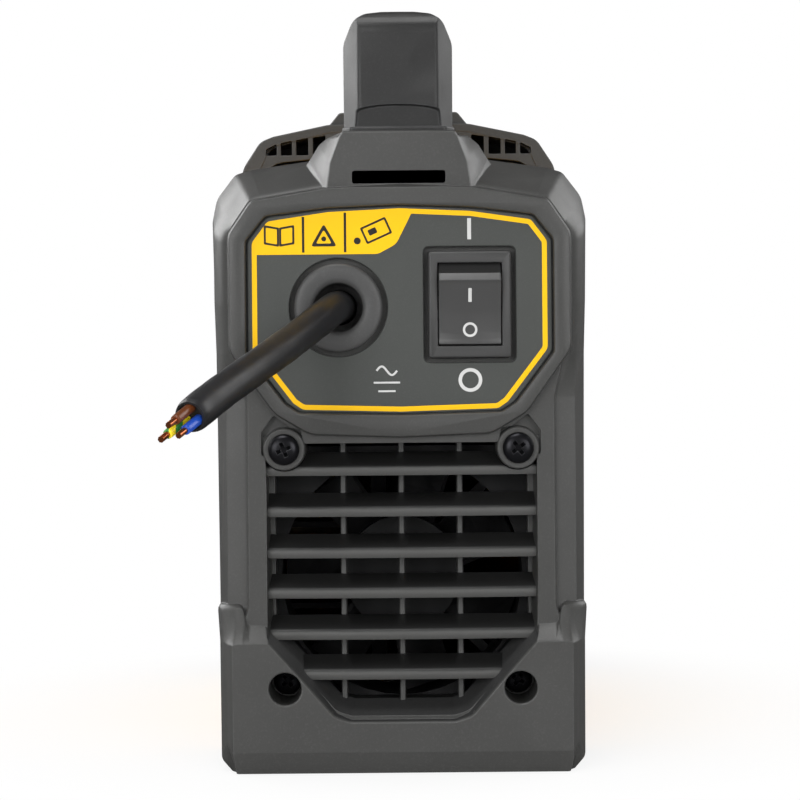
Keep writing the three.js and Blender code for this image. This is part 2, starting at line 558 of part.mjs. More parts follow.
function addSocket(polarity, side) {
  const x = side * SOCKET.x;
  const { z } = SOCKET;
  add(`socket_${polarity}_body`, latheY(x, z, SOCKET_BODY, 28, true), 'black');
  // a key slot runs along the top of the contact's bore
  add(`socket_${polarity}_contact`, latheY(x, z, SOCKET_CONTACT)
    .subtract(box(x - 1.3, x + 1.3, -146, -124, z + 2, z + 7)), 'brass');
  add(`socket_${polarity}_nut`, prismY(circle(x, z, 15.5, 6), -129.6, -124)
    .subtract(cylY(x, z, 11.8, -135, -120, 28)), 'steel');
}
addSocket('negative', 1);
addSocket('positive', -1);

// ---------- handle ----------
const SLOPE = 0.0566;                             // rise towards the working end
const gripZ = (y) => 213.8 + (80 - y) * SLOPE;    // underside of the grip
const topZ = (y) => 231 + (117.5 - y) * SLOPE;    // shoulder line of the grip's top
const CROWN = 1.4;                                // top face above the shoulder line
// side view, [y, z]
const HANDLE_SIDE = [[126, 194.7], [122.5, 224], [117.5, topZ(117.5) + CROWN],
  [-98, topZ(-98) + CROWN], [-108, 242.6], [-115, 237], [-119, 220.2], [-93, 220.2],
  [-86, gripZ(-86) + 0.6], [-78, gripZ(-78)], [80, 213.8], [90, 209.5], [97, 201.5],
  [99, 194.7]];
// plan view, [x, y], chamfered at the mains end
const HANDLE_PLAN = [[17.5, -130], [17.5, 119.5], [12.4, 127]];

// strip along the grip's underside, between two heights above it
const gripStrip = (y0, y1, low, high, halfWidth) => prismX([[y0, low(y0)], [y1, low(y1)],
  [y1, gripZ(y1) + high], [y0, gripZ(y0) + high]], -halfWidth, halfWidth);

function handle() {
  const section = (y) => [y, [[16.6, topZ(y) - 52], [17, topZ(y) - 11.3],
    [12.3, topZ(y) - 1.6], [9.5, topZ(y) + 0.8], [6, topZ(y) + CROWN]]];
  return prismX(HANDLE_SIDE, -17, 17)
    .intersect(loftY([section(-130), section(140)]))
    .intersect(prismZ(mirror(HANDLE_PLAN), 180, 260))
    .subtract(gripStrip(-78, 76, () => 200, 4.8, 12.6));
}
add('handle', handle(), 'cover');
add('handle_underside',
  gripStrip(-77.6, 75.6, (y) => gripZ(y) + 0.4, 4.4, 12.2), 'rubber');

// ---------- electronics ----------
const BOARD_Z = 104;
const BOARD_TOP = BOARD_Z + 1.6;
const PART_Z = BOARD_TOP + GAP;                   // underside of parts on the main board
const FINS = { count: 9, z: 26, pitch: 8.8, t: 1.8, back: 5, root: 10, tip: 44 };
const CAPACITORS = [[-24, 58], [-24, 24], [24, 58]];   // [x, y]
const CAPACITOR_PROFILE = [[0, 0], [15, 0], [15, 38], [14.2, 39], [0, 39]];
const TRANSFORMER_WINDOWS = [[-91, -81], [-67, -57]];  // y ranges through the core
const CHOKE = { r: 15, rWire: 7, at: [26, -74, 46] };

add('main_board', box(-46, 46, -104, 80, BOARD_Z, BOARD_TOP), 'board');

// comb with level fins pointing away from the middle
function heatsink(side) {
  const { count, pitch, t, back, root, tip } = FINS;
  const outline = [[back, FINS.z]];
  for (let i = 0; i < count; i++) {
    const z = FINS.z + i * pitch;
    outline.push([tip, z], [tip, z + t]);
    if (i < count - 1) outline.push([root, z + t], [root, z + pitch]);
  }
  outline.push([back, FINS.z + (count - 1) * pitch + t]);
  return prismY(outline.map(([x, z]) => [side * x, z]), -38, 78);
}
add('heatsink_left', heatsink(1), 'aluminium');
add('heatsink_right', heatsink(-1), 'aluminium');

[[-1, 12], [-1, 46], [1, 12], [1, 46]].forEach(([side, y], i) => {
  add(`power_transistor_${i + 1}`, sideBox(side, 0.4, 4.7, y - 8, y + 8, 72, 92), 'black');
});
add('transformer_core', TRANSFORMER_WINDOWS.reduce(
  (core, [y0, y1]) => core.subtract(box(-40, -10, y0, y1, 31, 67)),
  box(-36, -16, -98, -50, 24, 74)), 'ferrite');
add('transformer_winding', box(-43, -9, -90.6, -57.4, 31.4, 66.6)
  .subtract(box(-36.4, -15.6, -81.4, -66.6, 28, 70)), 'copper');
add('output_choke', latheY(0, 0, circle(CHOKE.r, 0, CHOKE.rWire, 8), 20, true)
  .rotate([0, 0, 90]).translate(CHOKE.at), 'copper');
CAPACITORS.forEach(([x, y], i) => {
  add(`bus_capacitor_${i + 1}`, latheY(0, 0, CAPACITOR_PROFILE, 22)
    .rotate([90, 0, 0]).translate([x, y, PART_Z]), 'black');
});
add('bridge_rectifier', box(-38, -8, -14, -8, PART_Z, BOARD_Z + 24), 'black');
add('soft_start_relay', box(10, 38, -16, 2, PART_Z, BOARD_Z + 20), 'black');

// ---------- screws ----------
// pan head with a cross recess; axis +Y, head seat at y = 0
function screw(rHead, hHead, rShank, length) {
  const reach = rHead * 0.5;
  const half = rHead * 0.13;
  const depth = [hHead * 0.35, hHead * 2];
  const cross = box(-reach, reach, ...depth, -half, half)
    .add(box(-half, half, ...depth, -reach, reach));
  return latheY(0, 0, [[0, -length], [rShank, -length], [rShank, 0], [rHead, 0],
    [rHead, hHead * 0.5], [rHead * 0.7, hHead], [0, hHead * 1.05]], 12).subtract(cross);
}
// end, first number, place, gap under the head, turn in degrees,
// [head radius, head height, shank radius, length]
const SCREW_PAIRS = [
  ['rear', 1, REAR_UPPER, GAP, [0, 20, 0], [4.7, 2.6, 1.9, 16]],
  ['rear', 3, REAR_LOWER, GAP, [0, 35, 0], [4.3, 2.4, 1.9, 5]],
  ['front', 1, FRONT_UPPER, -GAP, [0, 0, 180], [3.5, 2.2, 1.8, 20]],
  ['front', 3, FRONT_LOWER, -GAP, [0, 0, 180], [4.3, 2.4, 1.8, 14]],
];
for (const [end, first, place, gap, turn, sizes] of SCREW_PAIRS) {
  SIDES.forEach((side, i) => {
    add(`${end}_screw_${first + i}`, screw(...sizes).rotate(turn)
      .translate([side * place.x, place.seat + gap, place.z]), 'dark_steel');
  });
}
SIDES.forEach((side, i) => CASE_SCREW.ys.forEach((y, j) => {
  add(`case_screw_${2 * i + j + 1}`, screw(3.9, 2.2, 1.6, 7).rotate([0, 0, side * -90])
    .translate([side * (SHELL_X + GAP), y, CASE_SCREW.z]), 'dark_steel');
}));

export default group;
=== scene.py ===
# Looks of a stick welding inverter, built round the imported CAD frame: moulded covers, a powder-coated
# shell, cable, switch, controls and fittings. It stands on z = 0 with its length along Y. The rear,
# with cable and switch, faces +Y; the front, with knob and output sockets, faces -Y.
# Geometry is in millimetres; shaders, stage, lights and camera are in metres.
import json
import random
from math import cos, dist, hypot, pi, radians, sin, tan
import bmesh
import bpy
from mathutils import Matrix, Vector


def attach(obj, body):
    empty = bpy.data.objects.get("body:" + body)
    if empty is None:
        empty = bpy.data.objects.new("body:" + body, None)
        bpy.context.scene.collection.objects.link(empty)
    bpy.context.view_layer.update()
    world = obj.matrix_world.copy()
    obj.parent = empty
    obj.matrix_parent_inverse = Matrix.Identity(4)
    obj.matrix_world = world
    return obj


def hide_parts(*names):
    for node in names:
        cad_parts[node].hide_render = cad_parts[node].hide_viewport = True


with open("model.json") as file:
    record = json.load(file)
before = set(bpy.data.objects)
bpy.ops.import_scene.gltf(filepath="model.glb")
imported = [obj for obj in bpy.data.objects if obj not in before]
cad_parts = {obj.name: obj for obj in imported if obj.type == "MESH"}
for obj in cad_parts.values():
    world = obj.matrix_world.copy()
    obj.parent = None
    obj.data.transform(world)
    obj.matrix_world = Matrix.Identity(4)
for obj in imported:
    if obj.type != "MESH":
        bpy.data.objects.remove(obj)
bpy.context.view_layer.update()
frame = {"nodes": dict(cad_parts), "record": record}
random.seed(7)

MM = 0.001
HOUSING = "housing"
SIDES = (1, -1)

# Places shared by several pieces, as (x, z); those with x > 0 in pairs also exist at -x
REAR_UPPER_SCREW = (35.5, 98)
REAR_LOWER_SCREW = (35.6, 25.8)
FRONT_UPPER_SCREW = (44.5, 96)
FRONT_LOWER_SCREW = (38, 14)
GLAND = (18.6, 140.9)
SWITCH_X, SWITCH_Z = -21.2, 141.5
KNOB = (0, 122)
SOCKET = (23, 56)
LAMP_X = 30
LAMP_GREEN_Z, LAMP_AMBER_Z = 168, 160
SHELL_SCREW_Y, SHELL_SCREW_Z = 62, 13

PANEL_FACE = 134.3                 # outer face of both printed panels, as distance from y = 0
BLOCK_FACE = PANEL_FACE + 0.075    # face of the yellow block on the rear panel
INK_SINK = 0.02                    # how deep prints reach into what they lie on


# ------------------------------------------------------------------ outlines, lists of (x, z)
def mirror(half):
    """Closes a half outline with its mirror image; points on x = 0 aren't doubled."""
    return [tuple(p) for p in half] + [(-x, z) for x, z in reversed(half) if abs(x) > 1e-6]


def mirror_radii(radii, half):
    """Corner radii for mirror(half), given for the half outline."""
    return list(radii) + [r for r, (x, z) in zip(reversed(radii), reversed(half)) if abs(x) > 1e-6]


def offset(points, distance):
    """Moves every edge sideways, outwards for a counter-clockwise outline."""
    moved = []
    for i in range(len(points)):
        before, here = Vector(points[i - 1]), Vector(points[i])
        after = Vector(points[(i + 1) % len(points)])
        edge_in, edge_out = (here - before).normalized(), (after - here).normalized()
        normal_in, normal_out = Vector((edge_in.y, -edge_in.x)), Vector((edge_out.y, -edge_out.x))
        spread = max(1 + normal_in.dot(normal_out), 0.35)
        moved.append(tuple(here + (normal_in + normal_out) / spread * distance))
    return moved


def bend(start, corner, end, steps):
    """Quadratic curve from start to end, pulled towards the corner."""
    curve = []
    for k in range(steps + 1):
        u = k / steps
        curve.append(tuple((1 - u) ** 2 * start + 2 * u * (1 - u) * corner + u * u * end))
    return curve


def fillet(points, radius, steps=5):
    """Rounds all corners; radius is one value or a list with one per corner."""
    rounded, count = [], len(points)
    for i in range(count):
        r = radius[i] if isinstance(radius, (list, tuple)) else radius
        corner = Vector(points[i])
        back, ahead = Vector(points[i - 1]) - corner, Vector(points[(i + 1) % count]) - corner
        angle = max(back.angle(ahead), 0.05)
        trim = max(min(r / tan(angle / 2), 0.46 * back.length, 0.46 * ahead.length), 0.02)
        rounded += bend(corner + back.normalized() * trim, corner,
                        corner + ahead.normalized() * trim, steps)
    return rounded


def outline(half, radii, grow=0.0, steps=4):
    """Mirrored, offset and rounded outline, kept above the ground."""
    points = mirror(half)
    if grow:
        points = offset(points, grow)
    return [(x, max(z, 0.0)) for x, z in fillet(points, mirror_radii(radii, half), steps)]


def circle(x, z, radius, count=48):
    angles = [2 * pi * i / count for i in range(count)]
    return [(x + radius * cos(a), z + radius * sin(a)) for a in angles]


def rect(x0, x1, z0, z1, radius=0.0, steps=5):
    points = [(x0, z0), (x1, z0), (x1, z1), (x0, z1)]
    return fillet(points, radius, steps) if radius > 0 else points


def around_switch(half_width, half_height, radius):
    return rect(SWITCH_X - half_width, SWITCH_X + half_width,
                SWITCH_Z - half_height, SWITCH_Z + half_height, radius)


def at_side(side, place):
    return side * place[0], place[1]


# ------------------------------------------------------------------ meshes
def to_object(bm):
    bmesh.ops.recalc_face_normals(bm, faces=bm.faces)
    mesh = bpy.data.meshes.new("part")
    bm.to_mesh(mesh)
    bm.free()
    part = bpy.data.objects.new("part", mesh)
    bpy.context.scene.collection.objects.link(part)
    return part


def to_axis(axis, u, v, along):
    """Point at a distance along the axis, with (u, v) across it."""
    return {"X": (along, u, v), "Y": (u, along, v), "Z": (u, v, along)}[axis]


def add_rings(bm, rings, looped=False):
    """Skins a row of rings; the ends are capped, or the last ring joins the first."""
    rows = [[bm.verts.new(Vector(p) * MM) for p in ring] for ring in rings]
    count = len(rows[0])
    for a, b in zip(rows, rows[1:] + (rows[:1] if looped else [])):
        for i in range(count):
            j = (i + 1) % count
            bm.faces.new((a[i], b[i], b[j], a[j]))
    if not looped:
        bm.faces.new(rows[0])
        bm.faces.new(list(reversed(rows[-1])))


def solid(rings, looped=False):
    bm = bmesh.new()
    add_rings(bm, rings, looped)
    return to_object(bm)


def loft(sections, axis="Y"):
    """Closed solid through outlines; sections are (position along the axis, outline)."""
    return solid([[to_axis(axis, *p, along) for p in points] for along, points in sections])


def prism(points, start, end, axis="Y"):
    return loft([(start, points), (end, points)], axis)


def skin(radii, *stations):
    """Loft along Y through mirrored half outlines; stations are (y, half outline[, growth])."""
    return loft([(y, outline(half, radii, *grow)) for y, half, *grow in stations])


def hoop(outer, inner, start, end):
    """Flat frame between two outlines with equal point counts."""
    loops = ((start, outer), (end, outer), (end, inner), (start, inner))
    return solid([[(x, y, z) for x, z in points] for y, points in loops], looped=True)


def lathe(profile, centre, segments, axis="Y", closed=False):
    """Solid of revolution; profile is (radius, position along the axis). It starts and ends on the
    axis, or closes on itself."""
    bm = bmesh.new()
    origin = Vector(to_axis(axis, *centre, 0))

    def vertex(radius, along, angle):
        local = Vector(to_axis(axis, radius * cos(angle), radius * sin(angle), along))
        return bm.verts.new((origin + local) * MM)

    columns = []
    for radius, along in profile:
        if radius < 1e-6:
            columns.append([vertex(0, along, 0)])
        else:
            columns.append([vertex(radius, along, 2 * pi * i / segments) for i in range(segments)])
    for a, b in zip(columns, columns[1:] + (columns[:1] if closed else [])):
        for i in range(segments):
            j = (i + 1) % segments
            if len(a) == 1:
                bm.faces.new((a[0], b[i], b[j]))
            elif len(b) == 1:
                bm.faces.new((a[i], b[0], a[j]))
            else:
                bm.faces.new((a[i], b[i], b[j], a[j]))
    return to_object(bm)


def rod(centre, radius, start, end, segments, axis="Y"):
    return lathe([(0, start), (radius, start), (radius, end), (0, end)], centre, segments, axis)


def cuboid(x0, x1, y0, y1, z0, z1):
    bm = bmesh.new()
    bmesh.ops.create_cube(bm, size=1)
    for v in bm.verts:
        v.co = Vector((x0 + (v.co.x + 0.5) * (x1 - x0), y0 + (v.co.y + 0.5) * (y1 - y0),
                       z0 + (v.co.z + 0.5) * (z1 - z0))) * MM
    return to_object(bm)


def sweep(path, radii, sides, twist=0.0, ripple=None):
    """Tube along points with a radius at each, turned as little as possible on the way."""
    points = [Vector(p) for p in path]
    tangents = []
    for i in range(len(points)):
        a, b = points[max(i - 1, 0)], points[min(i + 1, len(points) - 1)]
        tangents.append((b - a).normalized())
    across = tangents[0].orthogonal().normalized()
    rings = []
    for i, (point, tangent) in enumerate(zip(points, tangents)):
        if i:
            hinge = tangents[i - 1].cross(tangent)
            if hinge.length > 1e-9:
                turn = tangents[i - 1].angle(tangent)
                across = Matrix.Rotation(turn, 3, hinge.normalized()) @ across
        across = (across - tangent * across.dot(tangent)).normalized()
        third = tangent.cross(across)
        ring = []
        for k in range(sides):
            a = 2 * pi * k / sides + twist * i
            radius = radii[i] + (ripple(a) if ripple else 0)
            ring.append(tuple(point + (across * cos(a) + third * sin(a)) * radius))
        rings.append(ring)
    return solid(rings)


def spline(points, count):
    """Centripetal Catmull-Rom through the points, with samples evenly spaced along it."""
    knots = [Vector(p) for p in points]
    knots = [knots[0] * 2 - knots[1]] + knots + [knots[-1] * 2 - knots[-2]]
    dense = []
    for i in range(1, len(knots) - 2):
        p0, p1, p2, p3 = knots[i - 1:i + 3]
        t1 = max((p1 - p0).length, 1e-6) ** 0.5
        t2 = t1 + max((p2 - p1).length, 1e-6) ** 0.5
        t3 = t2 + max((p3 - p2).length, 1e-6) ** 0.5
        for k in range(40):
            t = t1 + (t2 - t1) * k / 40
            a1 = (t1 - t) / t1 * p0 + t / t1 * p1
            a2 = (t2 - t) / (t2 - t1) * p1 + (t - t1) / (t2 - t1) * p2
            a3 = (t3 - t) / (t3 - t2) * p2 + (t - t2) / (t3 - t2) * p3
            b1 = (t2 - t) / t2 * a1 + t / t2 * a2
            b2 = (t3 - t) / (t3 - t1) * a2 + (t - t1) / (t3 - t1) * a3
            dense.append((t2 - t) / (t2 - t1) * b1 + (t - t1) / (t2 - t1) * b2)
    dense.append(knots[-2])
    lengths = [0.0]
    for a, b in zip(dense, dense[1:]):
        lengths.append(lengths[-1] + (b - a).length)
    samples, j = [], 0
    for k in range(count):
        target = lengths[-1] * k / (count - 1)
        while j < len(lengths) - 2 and lengths[j + 1] < target:
            j += 1
        part = (target - lengths[j]) / max(lengths[j + 1] - lengths[j], 1e-9)
        samples.append(tuple(dense[j].lerp(dense[j + 1], min(max(part, 0), 1))))
    return samples


def discard(part):
    mesh = part.data
    bpy.data.objects.remove(part)
    bpy.data.meshes.remove(mesh)


def boolean(part, operation, tools):
    """Applies the tools one after another and removes them."""
    for tool in tools:
        modifier = part.modifiers.new("cut", "BOOLEAN")
        modifier.operation, modifier.object, modifier.solver = operation, tool, "EXACT"
    bpy.context.view_layer.update()
    evaluated = part.evaluated_get(bpy.context.evaluated_depsgraph_get())
    mesh = bpy.data.meshes.new_from_object(evaluated)
    part.modifiers.clear()
    old, part.data = part.data, mesh
    bpy.data.meshes.remove(old)
    for tool in tools:
        discard(tool)
    return part


def cut(part, *tools):
    return boolean(part, "DIFFERENCE", tools)


def fuse(part, *tools):
    return boolean(part, "UNION", tools)


def common(part, *tools):
    return boolean(part, "INTERSECT", tools)


def join(part, *others):
    """Puts meshes that don't need a boolean into one object."""
    bm = bmesh.new()
    for piece in (part,) + others:
        bm.from_mesh(piece.data)
    bm.to_mesh(part.data)
    bm.free()
    for piece in others:
        discard(piece)
    return part


def clean(part, merge=0.004):
    """Merges points and removes slivers left by booleans."""
    bm = bmesh.new()
    bm.from_mesh(part.data)
    bmesh.ops.remove_doubles(bm, verts=bm.verts, dist=merge * MM)
    bmesh.ops.dissolve_degenerate(bm, edges=bm.edges, dist=merge * MM)
    bm.to_mesh(part.data)
    bm.free()
    return part


def to_front(part):
    """Front pieces are modelled facing +Y; this mirrors them to the -Y end."""
    part.data.transform(Matrix.Scale(-1, 4, (0, 1, 0)))
    part.data.flip_normals()
    return part


def add_part(name, part, slot, material=None, replaces=None, body=HOUSING, angle=38):
    """Names, shades and registers a piece; the material is the slot's own unless given."""
    part.name = name
    part.data.name = name
    part.data.shade_smooth()
    part.data.set_sharp_from_angle(angle=radians(angle))
    part.data.materials.clear()
    part.data.materials.append(materials[material or slot])
    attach(part, body)
    if replaces:
        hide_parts(replaces)
    return part


# ------------------------------------------------------------------ materials
def linear(color):
    """Linear RGBA from 0-255 sRGB."""
    values = [v / 255 for v in color]
    values = [v / 12.92 if v <= 0.04045 else ((v + 0.055) / 1.055) ** 2.4 for v in values]
    return (*values, 1.0)


def scaled(color, factor, lift=0.0):
    return tuple(min(v * factor + lift, 1) for v in color[:3]) + (1,)


class MaterialNodes:
    """A material with one principled shader, and short calls for the nodes that feed it."""

    def __init__(self, name):
        self.material = bpy.data.materials.new(name)
        self.material.use_nodes = True
        self.tree = self.material.node_tree
        self.tree.nodes.clear()
        self.output = self.node("ShaderNodeOutputMaterial")
        self.shader = self.node("ShaderNodeBsdfPrincipled")
        self.put(self.output.inputs[0], self.shader.outputs[0])
        self.coords = self.node("ShaderNodeTexCoord").outputs["Object"]

    def put(self, socket, value):
        if isinstance(value, bpy.types.NodeSocket):
            self.tree.links.new(value, socket)
        else:
            socket.default_value = value

    def fill(self, node, inputs):
        for key, value in inputs.items():
            self.put(node.inputs[key], value)

    def node(self, kind, inputs=None, **settings):
        node = self.tree.nodes.new(kind)
        for key, value in settings.items():
            setattr(node, key, value)
        self.fill(node, inputs or {})
        return node

    def noise(self, scale, detail=3.0, rough=0.55, vector=None):
        return self.node("ShaderNodeTexNoise", {
            "Vector": vector or self.coords, "Scale": scale, "Detail": detail,
            "Roughness": rough}).outputs["Fac"]

    def stretch(self, *scale):
        return self.node("ShaderNodeMapping", {"Vector": self.coords, "Scale": scale}).outputs[0]

    def ramp(self, value, low=0.3, high=0.7, to_low=0.0, to_high=1.0):
        return self.node("ShaderNodeMapRange", {
            "Value": value, "From Min": low, "From Max": high, "To Min": to_low,
            "To Max": to_high}).outputs[0]

    def calc(self, operation, a, b):
        return self.node("ShaderNodeMath", {0: a, 1: b}, operation=operation).outputs[0]

    def mix(self, factor, a, b):
        return self.node("ShaderNodeMix", {0: factor, 6: a, 7: b}, data_type="RGBA").outputs[2]

    def bump(self, height, strength, distance, normal=None):
        inputs = {"Height": height, "Strength": strength, "Distance": distance}
        if normal is not None:
            inputs["Normal"] = normal
        return self.node("ShaderNodeBump", inputs).outputs[0]

    def face_normal(self):
        return self.node("ShaderNodeNewGeometry").outputs["Normal"]

    def facing_up(self):
        return self.node("ShaderNodeSeparateXYZ", {0: self.face_normal()}).outputs[2]

    def edge_mask(self, rounded):
        """1 where the rounded normal leaves the face normal."""
        dot = self.node("ShaderNodeVectorMath", {0: rounded, 1: self.face_normal()},
                        operation="DOT_PRODUCT")
        return self.ramp(dot.outputs["Value"], low=0.995, high=0.86)


def surface(name, color, rough, grain, bump, depth=0.00004, metal=0.0, tone=0.06, tone_scale=22.0,
            rough_spread=0.06, wear_and_highlight=0.0, wear_and_highlight_color=None, rounding=0.0005, coat=0.0, spec=0.5,
            dust=0.0, dimples=0.0, speckle=0.0, scratch=0.0, shade=0.0):
    """General surface. grain is the scale of the fine texture, bump and depth its relief; tone is the
    spread of the colour; wear_and_highlight lightens edges in patches, partly as edge wear and partly
    as painted highlight, and rounding (metres) rounds the edges; speckle is light grain in the colour;
    dimples is a coarse relief; scratch roughens streaks; dust settles on faces that look up, and
    shade darkens them as painted shade."""
    m = MaterialNodes(name)
    base = linear(color)
    mottle = m.ramp(m.noise(scale=tone_scale, detail=4))
    tint = m.mix(mottle, scaled(base, 1 - tone), scaled(base, 1 + tone))
    if speckle:
        spots = m.ramp(m.noise(scale=grain * 0.55, detail=2), low=0.52, high=0.75, to_high=0.8)
        tint = m.mix(spots, tint, scaled(base, 1 + speckle, lift=0.004))
    # Painted shade: faces that look up are darkened towards dark grey, with a wavy edge
    if shade:
        uneven = m.ramp(m.noise(scale=90, detail=3), to_low=-0.06, to_high=0.06)
        up = m.calc("ADD", m.facing_up(), uneven)
        tint = m.mix(m.ramp(up, low=0.22, high=0.62, to_high=shade), tint, linear((24, 24, 24)))
    normal = None
    if wear_and_highlight or rounding:
        normal = m.node("ShaderNodeBevel", {"Radius": rounding}, samples=4).outputs[0]
    # Lighter patches along edges: partly edge wear, partly painted highlight
    if wear_and_highlight:
        patches = m.ramp(m.noise(scale=140, detail=4, rough=0.7), low=0.35, high=0.65, to_low=0.25)
        worn_and_lit = m.calc("MULTIPLY", m.edge_mask(normal), patches)
        edge_tint = linear(wear_and_highlight_color) if wear_and_highlight_color else scaled(base, 1.9, lift=0.01)
        tint = m.mix(m.calc("MULTIPLY", worn_and_lit, wear_and_highlight), tint, edge_tint)
    roughness = m.ramp(m.noise(scale=70, detail=4, rough=0.6),
                       to_low=rough - rough_spread, to_high=rough + rough_spread)
    if scratch:
        streaks = m.noise(scale=40, detail=5, rough=0.7, vector=m.stretch(2.0, 40, 26))
        streaks = m.ramp(streaks, low=0.6, high=0.75, to_high=scratch)
        roughness = m.calc("ADD", roughness, streaks)
    if dust:
        patches = m.ramp(m.noise(scale=55, detail=5, rough=0.7), low=0.35, high=0.75)
        up = m.calc("MULTIPLY", m.ramp(m.facing_up(), high=1.0), patches)
        tint = m.mix(m.calc("MULTIPLY", up, dust), tint, linear((150, 146, 138)))
        roughness = m.calc("ADD", roughness, m.calc("MULTIPLY", up, dust * 0.5))
    cells = m.node("ShaderNodeTexVoronoi", {"Vector": m.coords, "Scale": grain * 0.7})
    height = m.calc("ADD", m.noise(scale=grain, detail=2, rough=0.6),
                    m.calc("MULTIPLY", cells.outputs["Distance"], 0.35))
    normal = m.bump(height, bump, depth, normal)
    if dimples:
        normal = m.bump(m.noise(scale=420, detail=1, rough=0.4), dimples, 0.00005, normal)
    m.fill(m.shader, {
        "Base Color": tint, "Roughness": roughness, "Metallic": metal, "Specular IOR Level": spec,
        "Coat Weight": coat, "Coat Roughness": 0.12, "Normal": normal})
    return m.material


def lens(name, color):
    """Slightly milky lamp lens."""
    m = MaterialNodes(name)
    lighter = linear(tuple(min(255, c + 24) for c in color))
    m.fill(m.shader, {
        "Base Color": m.mix(m.ramp(m.noise(scale=300, detail=2)), linear(color), lighter),
        "Roughness": m.ramp(m.noise(scale=500, detail=2), to_low=0.16, to_high=0.26),
        "Subsurface Weight": 0.25, "Subsurface Radius": (0.002, 0.002, 0.002), "Coat Weight": 0.5,
        "Normal": m.bump(m.noise(scale=900, detail=2), strength=0.05, distance=0.00005)})
    return m.material


def earth_core():
    """Green insulation with yellow stripes."""
    m = MaterialNodes("core_green_yellow")
    stripes = m.node("ShaderNodeTexWave", {
        "Vector": m.stretch(1, 0.55, 0.8), "Scale": 95, "Distortion": 0.4},
        wave_type="BANDS", bands_direction="X").outputs["Fac"]
    stripes = m.ramp(stripes, low=0.45, high=0.55)
    m.fill(m.shader, {
        "Base Color": m.mix(stripes, linear((44, 122, 48)), linear((226, 204, 30))),
        "Roughness": m.ramp(m.noise(scale=300, detail=2), to_low=0.26, to_high=0.4),
        "Normal": m.bump(m.noise(scale=1500, detail=2), strength=0.08, distance=0.00004)})
    return m.material


